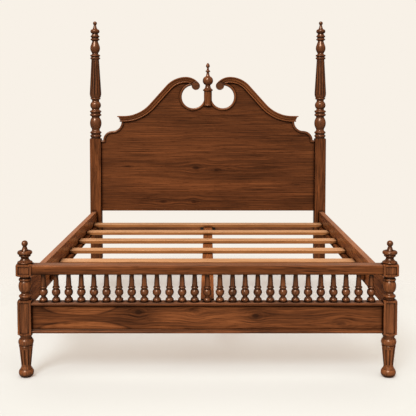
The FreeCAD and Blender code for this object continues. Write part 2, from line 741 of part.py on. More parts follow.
def shoulder():
    """Left shoulder edge, from the post to the end of the swan neck: ledge and ogee."""
    start = PANEL_X + SHOULDER_LEDGE
    middle = start + SHOULDER_R
    ledge = straight(at_front(PANEL_X, SHOULDER_Z), at_front(start, SHOULDER_Z))
    swell = arc_about((middle, SHOULDER_Z), SHOULDER_R, 180, 90)
    hollow = arc_about((middle, SWAN_END_Z), SHOULDER_R, -90, 0)
    return [ledge, swell, hollow]


def through_panel(radius, centre, front=0.0):
    """Round cutter through the panel, starting that far in front of it."""
    start = at_front(centre[0], centre[1], front + 1)
    return Part.makeCylinder(radius, PANEL_T + 2 * front + 2, start, Vec(0, 1, 0))


def make_headboard_panel():
    rosette = rosette_centre()
    left = shoulder()
    left.append(straight(at_front(SWAN_END_X, SWAN_END_Z), at_front(SWAN_END_X, SWAN_LOW_Z)))
    left += swan_neck()
    left.append(arc_about(rosette, ROSETTE_R, SWAN_CURL_END, -90))
    left.append(straight(at_front(rosette[0], rosette[1] - ROSETTE_R), at_front(-PLINTH_R, NECK_Z)))
    edges = left + [mirrored(edge) for edge in left]
    edges.append(straight(at_front(-PLINTH_R, NECK_Z), at_front(PLINTH_R, NECK_Z)))
    edges.append(straight(at_front(PANEL_X, PANEL_BOTTOM), at_front(PANEL_X, SHOULDER_Z)))
    edges.append(straight(at_front(-PANEL_X, PANEL_BOTTOM), at_front(-PANEL_X, SHOULDER_Z)))
    edges.append(straight(at_front(PANEL_X, PANEL_BOTTOM), at_front(-PANEL_X, PANEL_BOTTOM)))
    outline = Part.Wire(Part.__sortEdges__(edges))
    panel = Part.Face(outline).extrude(Vec(0, PANEL_T, 0))
    eye = through_panel(EYE_R, (-EYE_X, EYE_Z))
    panel = panel.cut([eye, mirrored(eye)])
    back_of_rosette = Part.makeCylinder(ROSETTE_R, PANEL_T, at_front(*rosette), Vec(0, 1, 0))
    tongue = brick(PANEL_X - TONGUE_L, PANEL_X, PANEL_MID_Y - TONGUE_T / 2, PANEL_MID_Y + TONGUE_T / 2,
                   PANEL_BOTTOM + TONGUE_INSET, SHOULDER_Z - TONGUE_INSET)
    panel = panel.fuse([back_of_rosette, mirrored(back_of_rosette), tongue, mirrored(tongue)])
    parts["headboard_panel"] = panel.removeSplitter()


def crown_profile(place):
    """Crown moulding section; place(down, out) gives the point at a drop from the edge and a projection."""
    low = CROWN_BEAD_SEAT
    bead = CROWN_W - CROWN_BEAD_W
    step = CROWN_PROJECTION - CROWN_QUIRK
    middle = (CROWN_FILLET + bead) / 2
    half = (step + low) / 2
    quarter = (bead - CROWN_FILLET) / 4
    lift = (step - low) / 4

    def line(a, b):
        return Part.LineSegment(place(*a), place(*b)).toShape()

    def arc(a, b, c):
        return Part.Arc(place(*a), place(*b), place(*c)).toShape()

    cove_end = (middle, half)
    return Part.Wire([
        line((0, 0), (0, CROWN_PROJECTION)),
        line((0, CROWN_PROJECTION), (CROWN_FILLET, CROWN_PROJECTION)),
        line((CROWN_FILLET, CROWN_PROJECTION), (CROWN_FILLET, step)),
        arc((CROWN_FILLET, step), (CROWN_FILLET + quarter * 0.75, half + lift * 0.75), cove_end),
        arc(cove_end, (middle + quarter * 1.25, half - lift * 0.75), (bead, low)),
        arc((bead, low), (bead + CROWN_BEAD_W / 2, low + CROWN_BEAD_W * 0.48), (CROWN_W, low)),
        line((CROWN_W, low), (CROWN_W, 0)),
        line((CROWN_W, 0), (0, 0)),
    ])


def wedge(corners, z0, z1):
    points = [Vec(x, y, z0) for x, y in corners]
    return Part.Face(Part.makePolygon(points + points[:1])).extrude(Vec(0, 0, z1 - z0))


def make_crown():
    """Crown moulding along the swan neck, with a mitred return at its outer end."""
    reach = 2 * CROWN_PROJECTION
    edges = swan_neck()
    start_x = SWAN_END_X - reach
    edges[0] = straight(at_front(start_x, SWAN_LOW_Z), edges[1].Vertexes[0].Point)
    section = crown_profile(lambda down, out: Vec(start_x, PANEL_Y - out, SWAN_LOW_Z - down))
    run = Part.Wire(edges).makePipeShell([section], True, False)
    corner = (SWAN_END_X, PANEL_Y)
    tip = (SWAN_END_X - reach, PANEL_Y - reach)
    z0 = SWAN_LOW_Z - CROWN_W - 1
    z1 = SWAN_LOW_Z + 1
    run = run.cut(wedge([corner, tip, (tip[0] - 1, tip[1]), (tip[0] - 1, PANEL_Y)], z0, z1))
    side = crown_profile(lambda down, out: Vec(SWAN_END_X - out, tip[1], SWAN_LOW_Z - down))
    back = Part.Face(side).extrude(Vec(0, PANEL_BACK_Y - tip[1], 0))
    back = back.cut(wedge([corner, tip, (SWAN_END_X, tip[1])], z0, z1))
    crown = run.fuse(back).removeSplitter()
    crown = crown.cut([through_panel(EYE_R + BEAD_W + FIT, (-EYE_X, EYE_Z), reach),
                       through_panel(ROSETTE_R + FIT, rosette_centre(), reach)])
    both_sides("crown_moulding", largest(crown))


def largest(shape):
    return max(shape.Solids, key=lambda solid: solid.Volume)


def half_round(place):
    """Bead section; place(inward, out) gives the point at a distance in from the edge and a projection."""
    edge = Part.Arc(place(0, 0), place(BEAD_W / 2, BEAD_H), place(BEAD_W, 0)).toShape()
    return Part.Wire([edge, Part.LineSegment(place(BEAD_W, 0), place(0, 0)).toShape()])


def make_beads():
    """Beads along the shoulder and round the scroll opening."""
    path = Part.Wire(shoulder())
    section = half_round(lambda inward, out: at_front(PANEL_X, SHOULDER_Z - inward, out))
    both_sides("shoulder_bead", path.makePipeShell([section], True, False, 1))
    rosette = rosette_centre()
    start = math.degrees(math.atan2(rosette[1] - EYE_Z, rosette[0] + EYE_X))
    section = half_round(lambda inward, out: at_front(-EYE_X + EYE_R + inward, EYE_Z, out))
    axis = Vec(0, -1, 0)
    centre = Vec(-EYE_X, 0, EYE_Z)
    section.rotate(centre, axis, start)
    sweep = 360 - start - 9
    bead = Part.Face(section).revolve(centre, axis, sweep)
    plinth = rod(PLINTH_FLARE_R + FIT, PLINTH_H, 0, PANEL_MID_Y, PLINTH_Z)
    bead = bead.cut([through_panel(ROSETTE_R + FIT, rosette, CROWN_PROJECTION), plinth])
    both_sides("scroll_bead", largest(bead))


def make_rosettes():
    centre = rosette_centre()
    disc = Turning(ROSETTE_R)
    disc.taper(ROSETTE_T - ROSETTE_RIM / 2, ROSETTE_R)
    disc.curve(ROSETTE_RIM / 2, ROSETTE_R - ROSETTE_RIM * 0.15, ROSETTE_R - ROSETTE_RIM / 2, 0.7)
    disc.curve(-ROSETTE_SINK, ROSETTE_R - ROSETTE_RIM * 0.85, ROSETTE_R - ROSETTE_RIM, 0.3)
    solid = disc.solid()
    solid.rotate(ORIGIN, Vec(1, 0, 0), 90)
    solid.translate(at_front(*centre))
    both_sides("scroll_rosette", solid)


def make_crest():
    """Turned plinth that straddles the panel, and the finial on it."""
    plinth = Turning(PLINTH_FLARE_R, PLINTH_Z)
    plinth.curve(PLINTH_FLARE_H, (PLINTH_R * 2 + PLINTH_FLARE_R) / 3, PLINTH_R, 0.4)
    plinth.taper(PLINTH_H - PLINTH_FLARE_H - PLINTH_CAP_H, PLINTH_R)
    plinth.step(PLINTH_CAP_R - 2)
    plinth.curve(PLINTH_CAP_H, PLINTH_CAP_R, PLINTH_CAP_R - 2)
    slot = brick(-PLINTH_CAP_R, PLINTH_CAP_R, PANEL_Y - FIT, PANEL_BACK_Y + FIT, PLINTH_Z - 1, NECK_Z)
    pin_hole = rod(FINIAL_PIN_R + BORE_FIT, FINIAL_PIN_L + TENON_END_GAP, 0, PANEL_MID_Y,
                   PLINTH_TOP - FINIAL_PIN_L - TENON_END_GAP)
    parts["crest_plinth"] = plinth.solid(0, PANEL_MID_Y).cut([slot, pin_hole])
    finial = Turning(CREST_FOOT_R, PLINTH_TOP)
    finial.taper(2, CREST_FOOT_R)
    finial.curve(CREST_NECK_H, CREST_NECK_R + 2, CREST_NECK_R + 1.5, 0.6)
    finial.curve(CREST_BALL_H, CREST_BALL_R, CREST_SPIRE_R, 0.5)
    finial.curve(CREST_SPIRE_H, CREST_STEM_R + 1, CREST_STEM_R, 0.6)
    finial.curve(CREST_RING_H, CREST_RING_R, CREST_STEM_R)
    finial.taper(CREST_TIP_H, CREST_TIP_R)
    finial.curve(CREST_KNOB_H * 0.6, CREST_KNOB_R, CREST_KNOB_R * 0.85, 0.55)
    finial.curve(CREST_KNOB_H * 0.4, CREST_KNOB_R * 0.55, CREST_POINT_R, 0.5)
    pin = rod(FINIAL_PIN_R, FINIAL_PIN_L, 0, PANEL_MID_Y, PLINTH_TOP - FINIAL_PIN_L)
    parts["crest_finial"] = finial.solid(0, PANEL_MID_Y).fuse(pin)


def head_rail_tenon():
    y0 = HEAD_Y - HEAD_RAIL_T / 2
    return tenon_bricks(PANEL_X, y0, y0 + HEAD_RAIL_T, HEAD_RAIL_TOP - HEAD_RAIL_H, HEAD_RAIL_TOP,
                        TENON_L, TENON_T, TENON_INSET)


def top_rail_tenon():
    x = POST_X + UPPER_BLOCK / 2
    y0 = FOOT_Y - TOP_RAIL_D / 2
    return tenon_bricks(x, y0, y0 + TOP_RAIL_D, TOP_RAIL_Z, TOP_RAIL_TOP, TENON_L, TENON_T, TENON_INSET)


def board_tenon():
    x = POST_X + LOWER_BLOCK / 2
    return tenon_bricks(x, BOARD_Y, BOARD_BACK_Y, BOARD_Z, BOARD_TOP, TENON_L, TENON_T, TENON_INSET)


def spindle_xs():
    span = POST_SPACING - UPPER_BLOCK - 2 * SPINDLE_END_GAP
    return [-span / 2 + span * i / (SPINDLES - 1) for i in range(SPINDLES)]


def make_spindles():
    turned = Turning(SPINDLE_TENON_R, CAP_TOP - SPINDLE_TENON_L)
    turned.taper(SPINDLE_TENON_L, SPINDLE_TENON_R)
    turned.step(SPINDLE_BUN_R - 2)
    turned.curve(SPINDLE_BUN_H, SPINDLE_BUN_R, SPINDLE_NECK_R + 0.5, 0.4)
    turned.curve(SPINDLE_NECK_H, SPINDLE_NECK_R, SPINDLE_NECK_R + 0.8)
    turned.curve(SPINDLE_BALL_H, SPINDLE_BALL_R, SPINDLE_GROOVE_R + 0.8)
    turned.step(SPINDLE_GROOVE_R)
    turned.taper(SPINDLE_GROOVE_H, SPINDLE_GROOVE_R)
    turned.step(SPINDLE_RING_R - SPINDLE_RING_DEPTH)
    turned.curve(SPINDLE_RING_H, SPINDLE_RING_R, SPINDLE_RING_R - SPINDLE_RING_DEPTH)
    turned.step(SPINDLE_STEM_R)
    turned.taper(TOP_RAIL_Z - turned.z, SPINDLE_TOP_R)
    turned.step(SPINDLE_TENON_R)
    turned.taper(SPINDLE_TENON_L, SPINDLE_TENON_R)
    solid = turned.solid(0, FOOT_Y)
    parts["footboard_spindles"] = group([solid.translated(Vec(x, 0, 0)) for x in spindle_xs()])


def strip(x, section):
    """Moulding of one section from post to post."""
    return Part.Face(Part.Wire(section)).extrude(Vec(-2 * x, 0, 0))


def cap_section(x):
    """Cap moulding: flat, with a half-round nose in front."""
    nose = CAP_T / 2
    front = FOOT_Y - CAP_FRONT
    back = FOOT_Y + CAP_BACK
    low = Vec(x, front + nose, BOARD_TOP)
    high = Vec(x, front + nose, CAP_TOP)
    back_low = Vec(x, back, BOARD_TOP)
    back_high = Vec(x, back, CAP_TOP)
    return [straight(back_low, low), Part.Arc(low, Vec(x, front, BOARD_TOP + nose), high).toShape(),
            straight(high, back_high), straight(back_high, back_low)]


def base_section(x):
    """Base moulding: a bead with a cove above it."""
    front = BOARD_Y - BASE_PROJECTION + BASE_STEP
    foot = Vec(x, BOARD_Y, BOARD_Z)
    toe = Vec(x, front, BOARD_Z)
    bead = Vec(x, BOARD_Y - BASE_PROJECTION, BOARD_Z + BASE_H * 0.3)
    waist = Vec(x, front, BOARD_Z + BASE_H * 0.6)
    cove = Vec(x, BOARD_Y - 2.2 * BASE_STEP, BOARD_Z + BASE_H * 0.72)
    lip = Vec(x, BOARD_Y - BASE_STEP, BOARD_Z + BASE_H)
    top = Vec(x, BOARD_Y, BOARD_Z + BASE_H)
    return [straight(foot, toe), Part.Arc(toe, bead, waist).toShape(), Part.Arc(waist, cove, lip).toShape(),
            straight(lip, top), straight(top, foot)]


def make_footboard():
    x = POST_X + UPPER_BLOCK / 2
    y0 = FOOT_Y - TOP_RAIL_D / 2
    rail = bar(x, -x, y0, y0 + TOP_RAIL_D, TOP_RAIL_Z, TOP_RAIL_TOP, TOP_RAIL_EASE)
    rail = with_tenons(rail, top_rail_tenon()[0])
    hole_r = SPINDLE_TENON_R + BORE_FIT
    depth = SPINDLE_TENON_L + TENON_END_GAP / 2
    rail = rail.cut([rod(hole_r, depth, sx, FOOT_Y, TOP_RAIL_Z) for sx in spindle_xs()])
    parts["footboard_top_rail"] = rail
    x = POST_X + LOWER_BLOCK / 2
    board = with_tenons(brick(x, -x, BOARD_Y, BOARD_BACK_Y, BOARD_Z, BOARD_TOP), board_tenon()[0])
    parts["footboard_panel"] = board.cut(driven(hanger_screws(BOARD_BACK_Y, -1), HANGER_SCREW_L, BORE_FIT))
    holes = [rod(hole_r, CAP_T, sx, FOOT_Y, CAP_TOP - depth) for sx in spindle_xs()]
    parts["footboard_cap_moulding"] = strip(x, cap_section(x)).cut(holes)
    parts["footboard_base_moulding"] = strip(x, base_section(x))


def plate_z():
    """Middle height of the rail plates, low on the rail so that they meet the lower block."""
    return RAIL_Z + PLATE_RISE + PLATE_H / 2


def placed_at_joint(solids, plane_y, toward):
    """Solids drawn with the rail towards -Y and the post towards +Y, moved to a rail end."""
    placed = []
    for solid in solids:
        if toward < 0:
            solid = solid.mirror(ORIGIN, Vec(0, 1, 0))
        placed.append(solid.translated(Vec(RAIL_X, plane_y, plate_z())))
    return placed


def joint_screws(into):
    """Places of the two screws of a plate, driven towards the post (1) or the rail (-1)."""
    return [(Vec(s * PLATE_SCREW_X, 0, s * PLATE_SCREW_Z), Vec(0, into, 0)) for s in (-1, 1)]


def plate_blank(y0, grow=0.0):
    half_w = PLATE_W / 2 + grow
    half_h = PLATE_H / 2 + grow
    return brick(-half_w, half_w, y0, y0 + PLATE_T, -half_h, half_h)


def hook_plate():
    """Plate let into the rail end, with its hooks; screwed from the joint face into the rail."""
    plate = plate_blank(-PLATE_T).cut(driven(joint_screws(-1), PLATE_SCREW_L, BORE_FIT))
    far = PLATE_T + RUN_FIT + HOOK_LIP
    half = HOOK_T / 2
    hooks = []
    for z in HOOK_OFFSETS:
        hooks.append(brick(-half, half, -PLATE_T, far, z, z + HOOK_H))
        hooks.append(brick(-half, half, PLATE_T + RUN_FIT, far, z - HOOK_DROP, z + HOOK_H))
    return plate.fuse(hooks).removeSplitter()


def slot_plate():
    """Plate let into the post, with a slot for each hook."""
    half = HOOK_T / 2 + RUN_FIT
    cuts = driven(joint_screws(1), PLATE_SCREW_L, BORE_FIT)
    for z in HOOK_OFFSETS:
        cuts.append(brick(-half, half, -1, PLATE_T + 1, z, z + HOOK_H + HOOK_DROP + 1))
    return plate_blank(0).cut(cuts)


def rail_sockets(plane_y, toward):
    """What a post loses to a rail joint: plate recess, room for the hooks, screw holes."""
    far = PLATE_T + HOOK_LIP + 3
    half = HOOK_T / 2 + 1.5
    low = HOOK_OFFSETS[0] - HOOK_DROP - 1
    high = HOOK_OFFSETS[1] + HOOK_H + HOOK_DROP + 2
    room = brick(-half, half, 0, far, low, high)
    tools = [plate_blank(0, FIT), room] + driven(joint_screws(1), PLATE_SCREW_L, BORE_FIT)
    return placed_at_joint(tools, plane_y, toward)


def make_rails():
    rail = bar(-RAIL_IN - RAIL_T, -RAIL_IN, RAIL_FOOT_Y, RAIL_HEAD_Y, RAIL_Z, RAIL_TOP, RAIL_EASE)
    recess = [plate_blank(-PLATE_T, FIT)] + driven(joint_screws(-1), PLATE_SCREW_L, BORE_FIT)
    cuts = placed_at_joint(recess, RAIL_HEAD_Y, 1) + placed_at_joint(recess, RAIL_FOOT_Y, -1)
    ledger_holes = driven(ledger_screws(), LEDGER_SCREW_L, BORE_FIT)
    both_sides("side_rail", rail.cut(cuts + ledger_holes))
    ledger = bar(-RAIL_IN, -RAIL_IN + LEDGER_W, LEDGER_FOOT_Y, LEDGER_HEAD_Y, SLAT_Z - LEDGER_H, SLAT_Z,
                 LEDGER_EASE)
    both_sides("slat_ledger", ledger.cut(ledger_holes))
    hooks = []
    slots = []
    screws = []
    for plane_y, toward in ((RAIL_HEAD_Y, 1), (RAIL_FOOT_Y, -1)):
        hooks += placed_at_joint([hook_plate()], plane_y, toward)
        slots += placed_at_joint([slot_plate()], plane_y, toward)
        for into in (1, -1):
            screws += placed_at_joint(driven(joint_screws(into), PLATE_SCREW_L), plane_y, toward)
    parts["rail_hook_plates"] = group(hooks + [mirrored(s) for s in hooks])
    parts["post_slot_plates"] = group(slots + [mirrored(s) for s in slots])
    parts["rail_plate_screws"] = group(screws + [mirrored(s) for s in screws])
    screws = driven(ledger_screws(), LEDGER_SCREW_L)
    parts["ledger_screws"] = group(screws + [mirrored(s) for s in screws])


def ledger_screws():
    first = LEDGER_FOOT_Y + LEDGER_SCREW_END
    step = (LEDGER_HEAD_Y - LEDGER_SCREW_END - first) / (LEDGER_SCREWS - 1)
    x = -RAIL_IN + LEDGER_W
    return [(Vec(x, first + i * step, SLAT_Z - LEDGER_H / 2), Vec(-1, 0, 0)) for i in range(LEDGER_SCREWS)]


def slat_screws():
    return [(Vec(0, y, SLAT_TOP), Vec(0, 0, -1)) for y in SLAT_YS]


def leg_screws():
    a = BEAM_W / 2 - 12
    b = LEG_PLATE_L / 2 - 12
    return [(Vec(x, y, LEG_PLATE_Z), UP) for x in (-a, a) for y in (-b, b)]


def hanger_screws(plane_y, into):
    """Places of the two flange screws of a hanger on a face, driven towards +Y (1) or -Y (-1)."""
    x = BEAM_W / 2 + HANGER_GAP + HANGER_T + HANGER_FLANGE / 2
    z = BEAM_Z - HANGER_T + HANGER_SIDE_H / 2
    return [(Vec(s * x, plane_y - into * HANGER_T, z), Vec(0, into, 0)) for s in (-1, 1)]


def hanger(plane_y, into):
    """Steel stirrup that carries one end of the beam."""
    inner = BEAM_W / 2 + HANGER_GAP
    outer = inner + HANGER_T
    low = BEAM_Z - HANGER_T
    top = low + HANGER_SIDE_H
    near = plane_y - into * HANGER_T
    far = plane_y - into * HANGER_SEAT
    y0 = min(plane_y, far)
    y1 = max(plane_y, far)
    solid = brick(-outer, outer, y0, y1, low, BEAM_Z)
    solid = solid.fuse([brick(-outer, -inner, y0, y1, low, top), brick(inner, outer, y0, y1, low, top),
                        brick(-outer - HANGER_FLANGE, outer + HANGER_FLANGE,
                              min(plane_y, near), max(plane_y, near), low, top)])
    return solid.removeSplitter().cut(driven(hanger_screws(plane_y, into), HANGER_SCREW_L, BORE_FIT))


def make_middle():
    """Head cross rail, beam, hangers, slats and the middle leg."""
    rail_y = HEAD_Y - HEAD_RAIL_T / 2
    rail = bar(PANEL_X, -PANEL_X, rail_y, rail_y + HEAD_RAIL_T,
               HEAD_RAIL_TOP - HEAD_RAIL_H, HEAD_RAIL_TOP, SLAT_EASE)
    rail = with_tenons(rail, head_rail_tenon()[0])
    parts["head_rail"] = rail.cut(driven(hanger_screws(rail_y, 1), HANGER_SCREW_L, BORE_FIT))
    parts["beam_hanger_head"] = hanger(rail_y, 1)
    parts["beam_hanger_foot"] = hanger(BOARD_BACK_Y, -1)
    places = hanger_screws(rail_y, 1) + hanger_screws(BOARD_BACK_Y, -1)
    parts["hanger_screws"] = group(driven(places, HANGER_SCREW_L))
    beam = bar(-BEAM_W / 2, BEAM_W / 2, BOARD_BACK_Y + BEAM_END_GAP, rail_y - BEAM_END_GAP, BEAM_Z, SLAT_Z,
               BEAM_EASE)
    slat_holes = driven(slat_screws(), SLAT_SCREW_L, BORE_FIT)
    parts["centre_beam"] = beam.cut(slat_holes + driven(leg_screws(), LEG_SCREW_L, BORE_FIT))
    end = RAIL_IN - SLAT_END_GAP
    for i, y in enumerate(SLAT_YS):
        slat = bar(-end, end, y - SLAT_W / 2, y + SLAT_W / 2, SLAT_Z, SLAT_TOP, SLAT_EASE)
        parts["slat_%d" % (i + 1)] = slat.cut(slat_holes[i])
    parts["slat_screws"] = group(driven(slat_screws(), SLAT_SCREW_L))
    plate = brick(-BEAM_W / 2, BEAM_W / 2, -LEG_PLATE_L / 2, LEG_PLATE_L / 2, LEG_PLATE_Z, BEAM_Z)
    stud = rod(LEG_STUD_R, LEG_STUD_L + LEG_PLATE_T, 0, 0, LEG_PLATE_Z - LEG_STUD_L)
    parts["leg_plate"] = plate.fuse(stud).removeSplitter().cut(driven(leg_screws(), LEG_SCREW_L, BORE_FIT))
    parts["leg_plate_screws"] = group(driven(leg_screws(), LEG_SCREW_L))
    half = LEG_SIDE / 2
    leg = bar(-half, half, -half, half, LEVELLER_GAP, LEG_PLATE_Z, SLAT_EASE)
    insert_r = LEVELLER_R + RUN_FIT + INSERT_WALL
    parts["centre_leg"] = leg.cut([
        rod(LEG_STUD_R + BORE_FIT, LEG_STUD_L + TENON_END_GAP, 0, 0,
            LEG_PLATE_Z - LEG_STUD_L - TENON_END_GAP),
        rod(LEVELLER_R + RUN_FIT, LEVELLER_BORE, 0, 0, LEVELLER_GAP),
        rod(insert_r + BORE_FIT, INSERT_L + 1, 0, 0, LEVELLER_GAP),
    ])
    insert = rod(insert_r, INSERT_L, 0, 0, LEVELLER_GAP)
    insert = insert.fuse(rod(INSERT_FLANGE_R, INSERT_FLANGE_T, 0, 0, LEVELLER_GAP - INSERT_FLANGE_T))
    bore = rod(LEVELLER_R + RUN_FIT, INSERT_L + 4, 0, 0, LEVELLER_GAP - 2)
    parts["leg_insert"] = insert.removeSplitter().cut(bore)
    parts["leveller_screw"] = rod(LEVELLER_R, LEVELLER_L + LEVELLER_PAD_H * 0.5, 0, 0, LEVELLER_PAD_H * 0.5)
    pad = Turning(LEVELLER_PAD_R - 1)
    pad.curve(LEVELLER_PAD_H * 0.5, LEVELLER_PAD_R, LEVELLER_PAD_R)
    pad.curve(LEVELLER_PAD_H * 0.5, LEVELLER_PAD_R - 3, LEVELLER_R + 4, 0.7)
    seat = rod(LEVELLER_R + BORE_FIT, LEVELLER_PAD_H, 0, 0, LEVELLER_PAD_H * 0.5)
    parts["leveller_pad"] = pad.solid().cut(seat)


make_head_posts()
make_foot_posts()
make_headboard_panel()
make_crown()
make_beads()
make_rosettes()
make_crest()
make_footboard()
make_spindles()
make_rails()
make_middle()

os.makedirs("parts", exist_ok=True)
for name, shape in parts.items():
    print(name, len(shape.Solids), shape.isValid(), round(shape.Volume / 1000, 1))
    shape.exportStep("parts/%s.step" % name)
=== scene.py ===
import bpy
import math
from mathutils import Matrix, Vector


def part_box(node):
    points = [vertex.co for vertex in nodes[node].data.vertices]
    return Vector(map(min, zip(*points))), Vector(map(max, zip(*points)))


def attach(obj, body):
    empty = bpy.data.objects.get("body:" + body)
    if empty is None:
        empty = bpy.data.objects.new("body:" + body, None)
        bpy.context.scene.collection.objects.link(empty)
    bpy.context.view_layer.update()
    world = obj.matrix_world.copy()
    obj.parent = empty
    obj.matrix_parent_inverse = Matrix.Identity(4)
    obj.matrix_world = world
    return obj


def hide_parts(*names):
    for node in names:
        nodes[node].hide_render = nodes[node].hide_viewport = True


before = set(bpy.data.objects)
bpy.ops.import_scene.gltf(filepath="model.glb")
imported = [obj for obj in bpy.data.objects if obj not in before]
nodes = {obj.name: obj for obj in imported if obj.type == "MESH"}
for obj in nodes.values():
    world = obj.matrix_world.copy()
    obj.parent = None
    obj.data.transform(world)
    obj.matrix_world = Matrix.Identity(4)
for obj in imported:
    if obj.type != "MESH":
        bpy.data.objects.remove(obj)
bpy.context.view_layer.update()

# Camera: the photo's viewpoint, nearly level, looking at the foot end
IMAGE_PX = 416
FOCAL_PX = 775.7
SENSOR_WIDTH = 36.0
CAMERA_PLACE = (0.0062, -4.341, 1.1930)
CAMERA_PITCH = 3.37
CAMERA_SHIFT = (-0.0019, -0.1520)

# Floor: plain and pale, fading into the backdrop with the distance from its centre, in metres.
# Its tone falls a little with that distance, to even out the light, and a faint glow keeps the shadow light.
BACKDROP = (0.939, 0.879, 0.799)
FLOOR_HALF = 12.0
FLOOR_CENTRE = (0.0, -0.4, 0.0)
FLOOR_FADE = (1.25, 2.0)
FLOOR_TONES = ((0.370, 0.432, 0.449), (0.331, 0.389, 0.405))
FLOOR_EVEN = (0.75, 1.4)
FLOOR_GLOW = (0.19, 0.087, 0.048, 1.0)

# Dim surroundings: strength in front of the bed and behind it, and a faint bank of light behind it.
# The spans are parts of the direction's Y (to the back) and Z (up).
AROUND = (0.18, 0.06)
AROUND_SPAN = (-0.5, 0.5)
AROUND_COLOUR = (1.0, 0.955, 0.895, 1.0)
BANK = 0.15
BANK_BACK = (0.5, 0.75)
BANK_FOOT = (0.04, 0.12)
BANK_TOP = (0.4, 0.7)

# Lights: name, direction they come from, angle in degrees, strength, colour, seen in reflections or not
LIGHT_DISTANCE = 8.0
LIGHTS = [
    ("key", (-0.30, -0.82, 0.76), 22.0, 2.15, (0.975, 0.985, 1.0), True),
    ("front", (-0.15, -0.85, 0.80), 110.0, 1.3, (0.99, 0.98, 0.95), False),
    ("top", (0.0, 0.0, 1.0), 116.0, 4.8, (1.0, 0.88, 0.76), False),
]

# Headboard curves, in metres, for the left half: the grain of the mouldings follows them
HOLLOW_CENTRE = (-0.5865, 1.3260)
HOLLOW_R = 0.250
HOLLOW_END = (-0.4010, 1.1584)
CREST_CENTRE = (-0.1520, 1.1655)
CREST_R = 0.180
CREST_START_X = -0.2856
CURL_CENTRE = (-0.1520, 1.2285)
CURL_R = 0.117
NECK_SLOPE = math.radians(47.9)
EYE_CENTRE = (-0.1025, 1.2085)
EYE_R = 0.087

# Spindle profile, in metres from the cap moulding upwards.
# Arcs are (rise, radius on the way, end radius, share of the rise where the radius on the way lies).
SPINDLE_COUNT = 27
SPINDLE_SIDES = 40
SPINDLE_TENON_R = 0.0075
SPINDLE_TENON_L = 0.011
SPINDLE_FOOT_R = 0.016
SPINDLE_BALL_R = 0.0186
SPINDLE_FOOT_ARC = (0.0195, 0.018, 0.0105, 0.4)
SPINDLE_NECK_ARC = (0.0065, 0.010, 0.0108, 0.5)
SPINDLE_BALL_ARC = (0.0295, SPINDLE_BALL_R, 0.0123, 0.5)
SPINDLE_GROOVE_R = 0.0115
SPINDLE_GROOVE_RISE = 0.0025
SPINDLE_RING_R = 0.0136
SPINDLE_RING_ARC = (0.0085, 0.0158, SPINDLE_RING_R, 0.5)
SPINDLE_STEM_LOW_R = 0.0122
SPINDLE_STEM_HIGH_R = 0.0092
ARC_STEPS = 10
SHARP_ANGLE = math.radians(40.0)

# Each spindle takes its grain from another place in the wood, and its own tone
SPINDLE_SEED = 71
SPINDLE_SHADE = 0.53
SPINDLE_OFFSETS = (0.37, 0.61)
SPINDLE_TURN = 2.4
SPINDLE_VARY = 0.06

# Wood figure: scales are noise cells per metre along the grain and across it, swing is in metres
SWAY_SCALE = (2.2, 5.0, 5.0)
BLOTCH_SCALE = (1.5, 9.0, 9.0)
FIBRE_ALONG = 15.0
FINE_ACROSS = 230.0
BROAD = dict(streak_scale=(2.6, 72.0), line_along=6.0, swing=0.022)
NARROW = dict(streak_scale=(1.1, 115.0), line_along=2.6, swing=0.010)
STREAK_NOISE = dict(detail=4.0, roughness=0.62)
LINE_NOISE = dict(detail=3.0, roughness=0.6)
FIBRE_NOISE = dict(detail=3.0, roughness=0.65)
BLOTCH_NOISE = dict(detail=3.0)
NOISE_MIDDLE = 0.5
NOISE_SPAN = (0.3, 0.7)
PORE_SPAN = (0.33, 0.45)
PORE_TINT = (0.4, 0.36, 0.33)
WOOD_ROUGHNESS = (0.32, 0.22)
HEIGHT_SHARE = 0.5
WALNUT_TONES = [
    (0.0, (0.022, 0.0080, 0.0036)),
    (0.28, (0.048, 0.0158, 0.0060)),
    (0.5, (0.088, 0.0280, 0.0095)),
    (0.72, (0.132, 0.0415, 0.0135)),
    (1.0, (0.195, 0.0640, 0.0205)),
]
PALE_TONES = [
    (0.0, (0.150, 0.070, 0.030)),
    (0.3, (0.250, 0.124, 0.057)),
    (0.5, (0.335, 0.176, 0.086)),
    (0.75, (0.395, 0.222, 0.117)),
    (1.0, (0.445, 0.268, 0.150)),
]

# Varnished wood with painted light: painted shade in recesses and grooves (in the grooves partly settled
# stain), a painted highlight on convex edges and a painted sheen on top faces. A reach is in metres. Spans
# are of the ambient occlusion's openness, apart from the top sheen's span, of the normal's upward part.
AO_SAMPLES = 8
RECESS_REACH = 0.024
RECESS_SPAN = (0.45, 0.96)
RECESS_SHADE_TINT = (0.13, 0.08, 0.05)
GROOVE_REACH = 0.009
GROOVE_SPAN = (0.72, 0.985)
GROOVE_SHARE = 0.9
GROOVE_SHADE_TINT = (0.2, 0.13, 0.1)
EDGE_REACH = 0.006
EDGE_SPAN = (0.4, 0.8)
EDGE_HIGHLIGHT = 0.25
EDGE_HIGHLIGHT_TINT = (1.5, 1.52, 1.55)
TOP_SHEEN_SPAN = (0.5, 0.95)
TOP_SHEEN_TONE = (0.30, 0.185, 0.125)
GLOSS_TINT = (1.0, 0.68, 0.48, 1.0)

# Bumps: strength, height in metres
WOOD_BUMP = (0.08, 0.0005)
METAL_BUMP = (0.15, 0.0003)

# Tone of the grain spaces, before the shift that a piece's look adds
PLAIN_SHADE = 0.5
NECK_SHADE = 0.54
RING_SHADE = 0.58
# Place in the wood from one piece to the next, and the turns that bring an axis to the grain's X
SEED_STEP = (3.7, 1.3, 2.1)
TURNS = {"x": (0.0, 0.0, 0.0), "y": (0.0, 0.0, -math.pi / 2), "z": (0.0, math.pi / 2, 0.0)}

# Knots bend the grain round them and have rings and a dark heart
KNOT_BEND = 0.9
KNOT_RINGS = 17.0
KNOT_RING_GAIN = 0.045
KNOT_HEART = -9.0
